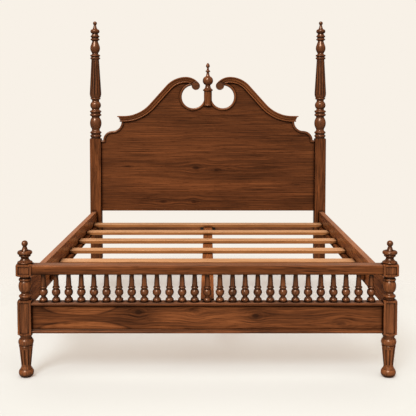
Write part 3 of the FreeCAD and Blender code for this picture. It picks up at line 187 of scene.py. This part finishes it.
# Areas end raggedly: plain ones fade out from their middle, outlined ones (lenses) near their edge
RAGGED_SCALE = (7.0, 7.0, 60.0)
RAGGED_NOISE = dict(detail=3.0)
RAGGED_GAIN = 0.5
PLAIN_FADE = (0.05, 1.80)
LENS_FADE = (0.75, 1.10)
LENS_LINE = 1.05
LENS_LINE_WIDTH = 0.16

# Mottling of painted and plated steel and of plastic
MOTTLE_NOISE = dict(detail=4.0, roughness=0.6)
MOTTLE_TINT = (0.7, 1.3)
ROUGHNESS_SWING = 0.08


class Tree:
    """Adds nodes to a node tree and links them."""

    def __init__(self, tree):
        self.tree = tree

    def add(self, kind, inputs=None, **settings):
        node = self.tree.nodes.new(kind)
        for key, value in settings.items():
            setattr(node, key, value)
        for key, value in (inputs or {}).items():
            self.feed(node.inputs[key], value)
        return node

    def feed(self, socket, value):
        if isinstance(value, bpy.types.NodeSocket):
            self.tree.links.new(value, socket)
        else:
            socket.default_value = value

    def math(self, operation, a, b=0.0):
        return self.add("ShaderNodeMath", {0: a, 1: b}, operation=operation).outputs[0]

    def sum(self, first, *rest):
        for value in rest:
            first = self.math("ADD", first, value)
        return first

    def times(self, a, b):
        return self.math("MULTIPLY", a, b)

    def minus(self, a, b):
        return self.math("SUBTRACT", a, b)

    def blend(self, factor, a, b):
        """a where factor is 0, b where it is 1, for plain numbers."""
        return self.sum(a, self.times(factor, self.minus(b, a)))

    def distance(self, x, z, centre):
        dx = self.minus(x, centre[0])
        dz = self.minus(z, centre[1])
        return self.math("SQRT", self.sum(self.times(dx, dx), self.times(dz, dz)))

    def oval(self, x, z, centre, half_width, half_height):
        """Square of the distance from the centre: 1 on the edge of the oval."""
        dx = self.math("DIVIDE", self.minus(x, centre[0]), half_width)
        dz = self.math("DIVIDE", self.minus(z, centre[1]), half_height)
        return self.sum(self.times(dx, dx), self.times(dz, dz))

    def combine(self, x, y, z):
        return self.add("ShaderNodeCombineXYZ", {0: x, 1: y, 2: z}).outputs[0]

    def split(self, vector):
        return self.add("ShaderNodeSeparateXYZ", {0: vector}).outputs

    def vector(self, operation, a, b):
        return self.add("ShaderNodeVectorMath", {0: a, 1: b}, operation=operation).outputs[0]

    def scaled(self, vector, factors):
        return self.vector("MULTIPLY", vector, factors)

    def moved(self, vector, by):
        return self.vector("ADD", vector, by)

    def place(self, kind):
        return self.add("ShaderNodeTexCoord").outputs[kind]

    def noise(self, vector, scale=1.0, detail=2.0, roughness=0.5):
        node = self.add("ShaderNodeTexNoise", {"Vector": vector, "Scale": scale, "Detail": detail,
                                               "Roughness": roughness})
        return node.outputs["Fac"]

    def swing(self, noise, gain):
        """Noise that swings round zero."""
        return self.times(self.minus(noise, NOISE_MIDDLE), gain)

    def ramp(self, factor, stops):
        node = self.add("ShaderNodeValToRGB", {"Fac": factor})
        elements = node.color_ramp.elements
        while len(elements) < len(stops):
            elements.new(0.5)
        for element, (place, colour) in zip(elements, stops):
            element.position = place
            element.color = (*colour, 1.0)
        return node.outputs["Color"]

    def span(self, value, low, high, out_low=0.0, out_high=1.0):
        node = self.add("ShaderNodeMapRange", {"Value": value, "From Min": low, "From Max": high,
                                               "To Min": out_low, "To Max": out_high})
        return node.outputs["Result"]

    def mix(self, factor, a, b):
        node = self.add("ShaderNodeMix", data_type="RGBA")
        self.feed(node.inputs["Factor"], factor)
        for label, colour in (("A", a), ("B", b)):
            fixed = not isinstance(colour, bpy.types.NodeSocket)
            self.feed(node.inputs[label], (*colour, 1.0) if fixed else colour)
        return node.outputs["Result"]

    def tinted(self, factor, colour, tint):
        """The colour, times the tint where the factor is 1."""
        return self.mix(factor, colour, self.scaled(colour, tint))

    def openness(self, reach, inside=False):
        node = self.add("ShaderNodeAmbientOcclusion", {"Distance": reach}, samples=AO_SAMPLES, inside=inside)
        return node.outputs["AO"]

    def bump(self, height, strength, distance):
        node = self.add("ShaderNodeBump", {"Height": height, "Strength": strength, "Distance": distance})
        return node.outputs[0]


def new_material(name):
    material = bpy.data.materials.new(name)
    material.use_nodes = True
    material.node_tree.nodes.clear()
    return material, Tree(material.node_tree)


def wood_group(name, tones, pore, streak_gain, line_gain, blotch_gain, streak_scale, line_along, swing):
    """Wood figure in a space whose X runs along the grain, in metres; Shade shifts the tone."""
    group = bpy.data.node_groups.new(name, "ShaderNodeTree")
    for label, kind in (("Vector", "NodeSocketVector"), ("Shade", "NodeSocketFloat")):
        group.interface.new_socket(label, in_out="INPUT", socket_type=kind)
    for label, kind in (("Color", "NodeSocketColor"), ("Roughness", "NodeSocketFloat"),
                        ("Height", "NodeSocketFloat")):
        group.interface.new_socket(label, in_out="OUTPUT", socket_type=kind)
    tree = Tree(group)
    source = tree.add("NodeGroupInput")
    place = source.outputs["Vector"]
    x, y, z = tree.split(place)
    sway = tree.swing(tree.noise(tree.scaled(place, SWAY_SCALE)), swing)
    place = tree.combine(x, tree.sum(y, sway), tree.sum(z, sway))
    along, across = streak_scale
    streak = tree.noise(tree.scaled(place, (along, across, across)), **STREAK_NOISE)
    line = tree.noise(tree.scaled(place, (line_along, FINE_ACROSS, FINE_ACROSS)), **LINE_NOISE)
    blotch = tree.noise(tree.scaled(place, BLOTCH_SCALE), **BLOTCH_NOISE)
    fibre = tree.noise(tree.scaled(place, (FIBRE_ALONG, FINE_ACROSS, FINE_ACROSS)), **FIBRE_NOISE)
    tone = tree.sum(source.outputs["Shade"], tree.swing(streak, streak_gain), tree.swing(line, line_gain),
                    tree.swing(blotch, blotch_gain))
    colour = tree.tinted(tree.span(fibre, *PORE_SPAN, pore, 0.0), tree.ramp(tone, tones), PORE_TINT)
    rough = tree.span(streak, *NOISE_SPAN, *WOOD_ROUGHNESS)
    height = tree.sum(tree.times(line, HEIGHT_SHARE), tree.times(fibre, HEIGHT_SHARE))
    tree.add("NodeGroupOutput", {"Color": colour, "Roughness": rough, "Height": height})
    return group


def middle(node):
    low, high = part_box(node)
    return (low + high) / 2


def straight_grain(axis, centre):
    """Wood space of a board whose grain runs along an axis."""
    def make(tree, point):
        place = tree.moved(point, [-c for c in centre])
        turned = tree.add("ShaderNodeVectorRotate", {"Vector": place, "Rotation": TURNS[axis]},
                          rotation_type="EULER_XYZ")
        return turned.outputs[0], PLAIN_SHADE
    return make


def knotted_grain(knots, areas):
    """Grain along X that flows round knots, with lighter and darker oval areas."""
    def make(tree, point):
        x, y, z = tree.split(point)
        bent = z
        shade = PLAIN_SHADE
        for knot_x, knot_z, half_width, half_height, dark in knots:
            reach = tree.oval(x, z, (knot_x, knot_z), half_width, half_height)
            near = tree.math("EXPONENT", tree.times(reach, -1.0))
            bent = tree.minus(bent, tree.times(tree.times(tree.minus(z, knot_z), near), KNOT_BEND))
            rings = tree.math("COSINE", tree.times(tree.math("SQRT", reach), KNOT_RINGS))
            heart = tree.math("EXPONENT", tree.times(reach, KNOT_HEART))
            mark = tree.sum(tree.times(tree.times(rings, near), KNOT_RING_GAIN), tree.times(heart, -dark))
            shade = tree.sum(shade, mark)
        ragged = tree.swing(tree.noise(tree.scaled(point, RAGGED_SCALE), **RAGGED_NOISE), RAGGED_GAIN)
        for area_x, area_z, half_width, half_height, gain, outline in areas:
            reach = tree.sum(tree.oval(x, z, (area_x, area_z), half_width, half_height), ragged)
            fade = LENS_FADE if outline else PLAIN_FADE
            shade = tree.sum(shade, tree.span(reach, *fade, gain, 0.0))
            if outline:
                off = tree.math("ABSOLUTE", tree.minus(reach, LENS_LINE))
                shade = tree.sum(shade, tree.span(off, 0.0, LENS_LINE_WIDTH, -outline, 0.0))
        return tree.combine(x, y, bent), shade
    return make


def left_half(tree, point):
    """Parts of the point, mirrored to the left half of the headboard."""
    x, y, z = tree.split(point)
    return tree.times(tree.math("ABSOLUTE", x), -1.0), y, z


def neck_grain(tree, point):
    """Grain that follows the swan neck: drop from its upper edge takes the place of height."""
    x, y, z = left_half(tree, point)
    hollow = tree.minus(tree.distance(x, z, HOLLOW_CENTRE), HOLLOW_R)
    line = tree.minus(tree.times(tree.minus(x, HOLLOW_END[0]), math.sin(NECK_SLOPE)),
                      tree.times(tree.minus(z, HOLLOW_END[1]), math.cos(NECK_SLOPE)))
    crest = tree.minus(CREST_R, tree.distance(x, z, CREST_CENTRE))
    curl = tree.minus(CURL_R, tree.distance(x, z, CURL_CENTRE))
    drop = tree.blend(tree.math("GREATER_THAN", x, HOLLOW_END[0]), hollow, line)
    drop = tree.blend(tree.math("GREATER_THAN", x, CREST_START_X), drop, crest)
    drop = tree.blend(tree.math("GREATER_THAN", x, CURL_CENTRE[0]), drop, curl)
    return tree.combine(x, y, drop), NECK_SHADE


def ring_grain(tree, point):
    """Grain that runs round the scroll opening."""
    x, y, z = left_half(tree, point)
    angle = tree.math("ARCTAN2", tree.minus(EYE_CENTRE[1], z), tree.minus(EYE_CENTRE[0], x))
    return tree.combine(tree.times(angle, EYE_R), y, tree.distance(x, z, EYE_CENTRE)), RING_SHADE


def wooden(name, group, grain, seed, gloss, shade_depth, lift, top_sheen=0.0, side_shade=None, reach=RECESS_REACH):
    """Varnished wood with painted light: the strength of the painted shade in recesses and grooves, a shift
    of the tone (lift), a painted sheen on upper faces, painted shade on upright faces, and reach, how far
    the recesses are looked for.
    """
    material, tree = new_material(name)
    place, shade = grain(tree, tree.place("Object"))
    figure = tree.add("ShaderNodeGroup", node_tree=group)
    tree.feed(figure.inputs["Vector"], tree.moved(place, [seed * step for step in SEED_STEP]))
    tree.feed(figure.inputs["Shade"], tree.sum(shade, lift))
    colour = figure.outputs["Color"]
    up = tree.split(tree.place("Normal"))[2]
    # Painted shade: upright faces darker than upward ones
    if side_shade:
        colour = tree.mix(tree.math("ABSOLUTE", up), tree.scaled(colour, side_shade), colour)
    # Painted sheen: upward faces made lighter and paler
    if top_sheen > 0.0:
        colour = tree.mix(tree.span(up, *TOP_SHEEN_SPAN, 0.0, top_sheen), colour, TOP_SHEEN_TONE)
    # Painted shade: recesses darkened by ambient occlusion
    recess_shade = tree.span(tree.openness(reach), *RECESS_SPAN, shade_depth, 0.0)
    colour = tree.tinted(recess_shade, colour, RECESS_SHADE_TINT)
    # Painted shade in grooves and at steps, partly stain settled in the grooves
    groove_shade = tree.span(tree.openness(GROOVE_REACH), *GROOVE_SPAN, shade_depth * GROOVE_SHARE, 0.0)
    colour = tree.tinted(groove_shade, colour, GROOVE_SHADE_TINT)
    # Painted highlight: convex edges lightened
    edge = tree.span(tree.openness(EDGE_REACH, inside=True), *EDGE_SPAN, 0.0, EDGE_HIGHLIGHT)
    colour = tree.tinted(edge, colour, EDGE_HIGHLIGHT_TINT)
    shader = tree.add("ShaderNodeBsdfPrincipled", {
        "Base Color": colour, "Roughness": figure.outputs["Roughness"],
        "Specular IOR Level": gloss, "Specular Tint": GLOSS_TINT,
        "Normal": tree.bump(figure.outputs["Height"], *WOOD_BUMP)})
    tree.add("ShaderNodeOutputMaterial", {"Surface": shader.outputs[0]})
    return material


def metal(name, colour, roughness, metallic, scale, gloss=0.5):
    """Painted or plated steel, or moulded plastic, with fine mottling."""
    material, tree = new_material(name)
    mottle = tree.noise(tree.place("Object"), scale, **MOTTLE_NOISE)
    tint = tree.span(mottle, *NOISE_SPAN, *MOTTLE_TINT)
    shade = tree.add("ShaderNodeVectorMath", {0: colour, 3: tint}, operation="SCALE").outputs[0]
    rough = tree.span(mottle, *NOISE_SPAN, roughness - ROUGHNESS_SWING, roughness + ROUGHNESS_SWING)
    shader = tree.add("ShaderNodeBsdfPrincipled", {
        "Base Color": shade, "Roughness": rough, "Metallic": metallic, "Specular IOR Level": gloss,
        "Normal": tree.bump(mottle, *METAL_BUMP)})
    tree.add("ShaderNodeOutputMaterial", {"Surface": shader.outputs[0]})
    return material


def paint(node, material):
    mesh = nodes[node].data
    mesh.materials.clear()
    mesh.materials.append(material)


def arc(start, through, end, steps):
    """Points after start on the arc by way of a point, for (radius, height) pairs."""
    (ax, ay), (bx, by), (cx, cy) = start, through, end
    # Centre of the circle through the three points
    area = 2 * (ax * (by - cy) + bx * (cy - ay) + cx * (ay - by))
    a2, b2, c2 = ax * ax + ay * ay, bx * bx + by * by, cx * cx + cy * cy
    mid_x = (a2 * (by - cy) + b2 * (cy - ay) + c2 * (ay - by)) / area
    mid_y = (a2 * (cx - bx) + b2 * (ax - cx) + c2 * (bx - ax)) / area
    radius = math.hypot(ax - mid_x, ay - mid_y)
    first = math.atan2(ay - mid_y, ax - mid_x)
    # The way round that meets the second point before the third
    turn = (math.atan2(by - mid_y, bx - mid_x) - first) % (2 * math.pi)
    total = (math.atan2(cy - mid_y, cx - mid_x) - first) % (2 * math.pi)
    if turn > total:
        total -= 2 * math.pi
    angles = [first + total * (i + 1) / steps for i in range(steps)]
    return [(mid_x + radius * math.cos(angle), mid_y + radius * math.sin(angle)) for angle in angles]


def spindle_profile(height):
    """Radius and height pairs of one spindle, tenons included."""
    points = [(0.0, -SPINDLE_TENON_L), (SPINDLE_TENON_R, -SPINDLE_TENON_L), (SPINDLE_TENON_R, 0.0),
              (SPINDLE_FOOT_R, 0.0)]

    def step(radius, rise=0.0):
        points.append((radius, points[-1][1] + rise))

    def curve(rise, through, end, share):
        r, z = points[-1]
        points.extend(arc((r, z), (through, z + share * rise), (end, z + rise), ARC_STEPS))

    curve(*SPINDLE_FOOT_ARC)
    curve(*SPINDLE_NECK_ARC)
    curve(*SPINDLE_BALL_ARC)
    step(SPINDLE_GROOVE_R)
    step(SPINDLE_GROOVE_R, SPINDLE_GROOVE_RISE)
    step(SPINDLE_RING_R)
    curve(*SPINDLE_RING_ARC)
    step(SPINDLE_STEM_LOW_R)
    points += [(SPINDLE_STEM_HIGH_R, height), (SPINDLE_TENON_R, height),
               (SPINDLE_TENON_R, height + SPINDLE_TENON_L), (0.0, height + SPINDLE_TENON_L)]
    return points


def lathe(vertices, faces, profile, x, y, z0):
    """Adds one turned body that starts and ends on its axis."""
    start = len(vertices)
    vertices.append((x, y, z0 + profile[0][1]))
    for r, z in profile[1:-1]:
        for k in range(SPINDLE_SIDES):
            angle = 2 * math.pi * k / SPINDLE_SIDES
            vertices.append((x + r * math.cos(angle), y + r * math.sin(angle), z0 + z))
    vertices.append((x, y, z0 + profile[-1][1]))
    rows = len(profile) - 2
    end = len(vertices) - 1
    for k in range(SPINDLE_SIDES):
        after = (k + 1) % SPINDLE_SIDES
        faces.append((start, start + 1 + after, start + 1 + k))
        for row in range(rows - 1):
            a = start + 1 + row * SPINDLE_SIDES
            b = a + SPINDLE_SIDES
            faces.append((a + k, a + after, b + after, b + k))
        last = start + 1 + (rows - 1) * SPINDLE_SIDES
        faces.append((last + k, last + after, end))


def make_spindles():
    """The turned spindles as one piece of smooth lathe meshes, each with its own number for the grain."""
    low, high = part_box("footboard_spindles")
    profile = spindle_profile(high.z - low.z - 2 * SPINDLE_TENON_L)
    y = (low.y + high.y) / 2
    z0 = low.z + SPINDLE_TENON_L
    pitch = (high.x - low.x - 2 * SPINDLE_BALL_R) / (SPINDLE_COUNT - 1)
    vertices = []
    faces = []
    numbers = []
    for i in range(SPINDLE_COUNT):
        lathe(vertices, faces, profile, low.x + SPINDLE_BALL_R + i * pitch, y, z0)
        numbers += [float(i)] * (len(vertices) - len(numbers))
    mesh = bpy.data.meshes.new("turned_spindles")
    mesh.from_pydata(vertices, [], faces)
    mesh.attributes.new("number", "FLOAT", "POINT").data.foreach_set("value", numbers)
    mesh.shade_smooth()
    mesh.set_sharp_from_angle(angle=SHARP_ANGLE)
    piece = bpy.data.objects.new("turned_spindles", mesh)
    bpy.context.scene.collection.objects.link(piece)
    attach(piece, "bed")
    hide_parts("footboard_spindles")

    def grain(tree, point):
        number = tree.add("ShaderNodeAttribute", attribute_name="number").outputs["Fac"]
        place, _ = straight_grain("z", (0.0, y, z0))(tree, point)
        offset = tree.combine(*[tree.times(number, step) for step in SPINDLE_OFFSETS], 0.0)
        wave = tree.math("SINE", tree.times(number, SPINDLE_TURN))
        shade = tree.sum(SPINDLE_SHADE, tree.times(wave, SPINDLE_VARY))
        return tree.moved(place, offset), shade

    mesh.materials.append(wooden("walnut_spindles", WALNUT, grain, SPINDLE_SEED, **SPINDLE_LOOK))


WALNUT = wood_group("walnut_figure", WALNUT_TONES, pore=0.75, streak_gain=0.85, line_gain=1.5,
                    blotch_gain=0.55, **BROAD)
WALNUT_PANEL = wood_group("panel_figure", WALNUT_TONES, pore=0.75, streak_gain=0.55, line_gain=1.4,
                          blotch_gain=0.6, **NARROW)
PALE = wood_group("pale_figure", PALE_TONES, pore=0.25, streak_gain=0.8, line_gain=0.7,
                  blotch_gain=0.6, **BROAD)

# Knots of the headboard and of the lower board: x, z, half width, half height, darkness.
# Areas: x, z, half width, half height, shift of the tone, darkness of the outline.
PANEL_KNOTS = [
    (-0.555, 0.725, 0.070, 0.020, 0.22),
    (-0.085, 0.715, 0.085, 0.046, 0.40),
    (0.060, 0.700, 0.060, 0.022, 0.12),
    (0.300, 0.725, 0.190, 0.030, 0.06),
    (-0.310, 0.480, 0.090, 0.036, 0.30),
    (-0.100, 0.480, 0.060, 0.040, 0.26),
    (0.620, 0.600, 0.080, 0.020, 0.14),
    (0.020, 0.985, 0.080, 0.016, 0.14),
]
PANEL_AREAS = [
    (-0.45, 0.80, 0.55, 0.26, 0.09, 0.0),
    (0.10, 0.585, 0.55, 0.030, 0.10, 0.0),
    (0.45, 0.66, 0.40, 0.12, -0.05, 0.0),
    (0.20, 0.48, 0.70, 0.070, -0.07, 0.0),
]
BOARD_KNOTS = [
    (-0.295, 0.284, 0.045, 0.034, 0.22),
    (-0.048, 0.286, 0.050, 0.036, 0.14),
    (0.205, 0.268, 0.050, 0.030, 0.50),
    (0.575, 0.232, 0.070, 0.040, 0.12),
]
BOARD_AREAS = [
    (-0.56, 0.257, 0.400, 0.150, -0.15, 0.0),
    (-0.545, 0.3125, 0.155, 0.042, 0.37, 0.28),
    (-0.530, 0.2000, 0.200, 0.046, 0.37, 0.28),
    (-0.300, 0.262, 0.085, 0.075, -0.16, 0.0),
    (-0.165, 0.240, 0.100, 0.055, 0.08, 0.0),
    (0.110, 0.232, 0.090, 0.022, 0.12, 0.0),
    (0.215, 0.275, 0.075, 0.040, -0.12, 0.0),
    (0.380, 0.300, 0.120, 0.018, 0.12, 0.0),
    (0.420, 0.225, 0.110, 0.024, 0.08, 0.0),
    (0.600, 0.255, 0.100, 0.040, 0.06, 0.0),
]


def pair(name):
    return [name + "_left", name + "_right"]


def either(table, node, default):
    """The table's entry for a node, or for the pair that it belongs to, or else the default."""
    return table.get(node) or table.get(node.removesuffix("_left").removesuffix("_right"), default)


# Nodes by the axis that their grain runs along; the order sets where in the wood each one lies
GRAIN_X = ["headboard_panel", "footboard_top_rail", "footboard_panel", "footboard_cap_moulding",
           "footboard_base_moulding", "head_rail", *pair("crown_moulding"), *pair("shoulder_bead"),
           *pair("scroll_bead"), *pair("scroll_rosette")]
GRAIN_Y = [*pair("side_rail"), *pair("slat_ledger"), "centre_beam"]
GRAIN_Z = [*pair("head_post"), *pair("head_post_turning"), *pair("head_post_finial"), *pair("foot_post"),
           *pair("foot_post_finial"), "crest_plinth", "crest_finial", "footboard_spindles", "post_dowels",
           "centre_leg"]
SLAT_COUNT = 6
SLATS = ["slat_%d" % (i + 1) for i in range(SLAT_COUNT)]
# Grain of the pieces or pairs that isn't straight
GRAINS = {
    "headboard_panel": knotted_grain(PANEL_KNOTS, PANEL_AREAS),
    "footboard_panel": knotted_grain(BOARD_KNOTS, BOARD_AREAS),
    "crown_moulding": neck_grain,
    "scroll_bead": ring_grain,
}
# Looks by piece or pair; TURNED_LOOK is for the walnut pieces that aren't listed
LOOKS = {
    # Where given, the top faces get a painted sheen.
    "side_rail_left": dict(gloss=0.03, shade_depth=0.7, lift=0.34, top_sheen=0.2),
    "side_rail_right": dict(gloss=0.03, shade_depth=0.7, lift=0.30, top_sheen=0.2),
    "slat_ledger": dict(gloss=0.0, shade_depth=0.9, lift=-0.05),
    "headboard_panel": dict(gloss=0.1, shade_depth=0.95, lift=-0.065),
    "footboard_panel": dict(gloss=0.1, shade_depth=1.0, lift=0.06),
    "footboard_top_rail": dict(gloss=0.12, shade_depth=1.0, lift=0.03, top_sheen=0.12),
    "footboard_cap_moulding": dict(gloss=0.15, shade_depth=1.0, lift=0.0, top_sheen=0.15),
    "footboard_base_moulding": dict(gloss=0.15, shade_depth=1.0, lift=0.0),
    # The crown moulding's lift is painted light: it lightens a cove that faces downwards and lies in shade.
    "crown_moulding": dict(gloss=0.35, shade_depth=0.45, lift=0.36),
    "scroll_bead": dict(gloss=0.5, shade_depth=0.9, lift=0.12),
    "head_post_turning": dict(gloss=0.95, shade_depth=0.9, lift=0.06),
    "head_post": dict(gloss=0.12, shade_depth=1.0, lift=-0.02),
    "foot_post": dict(gloss=0.75, shade_depth=1.0, lift=0.17),
    "crest_plinth": dict(gloss=0.15, shade_depth=0.75, lift=0.16),
    "centre_beam": dict(gloss=0.1, shade_depth=0.8, lift=0.18),
    "centre_leg": dict(gloss=0.15, shade_depth=1.0, lift=-0.10),
}
TURNED_LOOK = dict(gloss=0.95, shade_depth=0.95, lift=0.0)
# The spindles' long reach paints shade on their flanks, which face their neighbours.
SPINDLE_LOOK = dict(gloss=1.0, shade_depth=1.0, lift=0.06, reach=0.085)
# The slats' upright faces are darkened as painted shade.
SLAT_LOOK = dict(gloss=0.1, shade_depth=0.9, lift=0.0, side_shade=(0.62, 0.45, 0.29))

seed = 1
for axis, names in (("x", GRAIN_X), ("y", GRAIN_Y), ("z", GRAIN_Z)):
    for node in names:
        grain = either(GRAINS, node, None) or straight_grain(axis, middle(node))
        figure = WALNUT_PANEL if node == "headboard_panel" else WALNUT
        paint(node, wooden("walnut_" + node, figure, grain, seed, **either(LOOKS, node, TURNED_LOOK)))
        seed += 1
for node in SLATS:
    paint(node, wooden("pale_" + node, PALE, straight_grain("x", middle(node)), seed, **SLAT_LOOK))
    seed += 1

DARK_STEEL = metal("dark_steel", (0.014, 0.011, 0.009), roughness=0.5, metallic=0.0, scale=260.0, gloss=0.15)
ZINC = metal("zinc_steel", (0.34, 0.33, 0.31), roughness=0.38, metallic=1.0, scale=420.0)
DULL_ZINC = metal("dull_zinc_steel", (0.07, 0.062, 0.055), roughness=0.5, metallic=1.0, scale=420.0)
PAD = metal("pad_plastic", (0.035, 0.035, 0.036), roughness=0.6, metallic=0.0, scale=500.0)
for node in ("rail_hook_plates", "post_slot_plates", "beam_hanger_head", "beam_hanger_foot", "leg_plate"):
    paint(node, DARK_STEEL)
for node in ("rail_plate_screws", "ledger_screws", "leg_plate_screws", "leg_insert", "leveller_screw"):
    paint(node, ZINC)
for node in ("slat_screws", "hanger_screws"):
    paint(node, DULL_ZINC)
paint("leveller_pad", PAD)

make_spindles()


def make_floor():
    """Pale floor that fades into the backdrop and isn't mirrored in the varnish."""
    material, tree = new_material("floor")
    far = tree.add("ShaderNodeVectorMath", {0: tree.place("Object"), 1: FLOOR_CENTRE},
                   operation="DISTANCE").outputs["Value"]
    mirrored = tree.add("ShaderNodeLightPath").outputs["Is Glossy Ray"]
    fade = tree.math("MAXIMUM", tree.span(far, *FLOOR_FADE), mirrored)
    matt = tree.add("ShaderNodeBsdfDiffuse", {"Color": tree.mix(tree.span(far, *FLOOR_EVEN), *FLOOR_TONES)})
    glow = tree.add("ShaderNodeEmission", {"Color": FLOOR_GLOW, "Strength": 1.0})
    solid = tree.add("ShaderNodeAddShader", {0: matt.outputs[0], 1: glow.outputs[0]})
    clear = tree.add("ShaderNodeBsdfTransparent")
    both = tree.add("ShaderNodeMixShader", {0: fade, 1: solid.outputs[0], 2: clear.outputs[0]})
    tree.add("ShaderNodeOutputMaterial", {"Surface": both.outputs[0]})
    mesh = bpy.data.meshes.new("floor")
    corners = [(-FLOOR_HALF, -FLOOR_HALF, 0), (FLOOR_HALF, -FLOOR_HALF, 0),
               (FLOOR_HALF, FLOOR_HALF, 0), (-FLOOR_HALF, FLOOR_HALF, 0)]
    mesh.from_pydata(corners, [], [(0, 1, 2, 3)])
    mesh.materials.append(material)
    floor = bpy.data.objects.new("floor", mesh)
    bpy.context.scene.collection.objects.link(floor)


def make_surroundings():
    """Backdrop for the camera's own rays, dim surroundings for all others."""
    world = bpy.data.worlds.new("studio")
    bpy.context.scene.world = world
    world.use_nodes = True
    world.node_tree.nodes.clear()
    tree = Tree(world.node_tree)
    seen = tree.add("ShaderNodeLightPath").outputs["Is Camera Ray"]
    backdrop = tree.add("ShaderNodeBackground", {"Color": (*BACKDROP, 1.0), "Strength": 1.0})
    _, back, up = tree.split(tree.place("Generated"))
    bank = tree.times(tree.span(back, *BANK_BACK), tree.span(up, *BANK_FOOT, 0.0, BANK))
    bank = tree.times(bank, tree.span(up, *BANK_TOP, 1.0, 0.0))
    strength = tree.sum(tree.span(back, *AROUND_SPAN, *AROUND), bank)
    around = tree.add("ShaderNodeBackground", {"Color": AROUND_COLOUR, "Strength": strength})
    both = tree.add("ShaderNodeMixShader", {0: seen, 1: around.outputs[0], 2: backdrop.outputs[0]})
    tree.add("ShaderNodeOutputWorld", {"Surface": both.outputs[0]})


def make_light(name, direction, angle, strength, colour, mirrored):
    """Soft light that reaches the whole floor evenly; direction points to where it comes from."""
    data = bpy.data.lights.new(name, "SUN")
    data.angle = math.radians(angle)
    data.energy = strength
    data.color = colour
    light = bpy.data.objects.new(name, data)
    light.location = Vector(direction).normalized() * LIGHT_DISTANCE
    light.rotation_euler = Vector(direction).to_track_quat("Z", "Y").to_euler()
    light.visible_glossy = mirrored
    bpy.context.scene.collection.objects.link(light)


def make_camera():
    data = bpy.data.cameras.new("camera")
    data.sensor_width = SENSOR_WIDTH
    data.lens = FOCAL_PX / IMAGE_PX * data.sensor_width
    data.shift_x, data.shift_y = CAMERA_SHIFT
    camera = bpy.data.objects.new("camera", data)
    camera.location = CAMERA_PLACE
    camera.rotation_euler = (math.radians(90.0 - CAMERA_PITCH), 0.0, 0.0)
    bpy.context.scene.collection.objects.link(camera)
    bpy.context.scene.camera = camera


bpy.context.scene.view_settings.view_transform = "Standard"
make_floor()
make_surroundings()
for light in LIGHTS:
    make_light(*light)
make_camera()
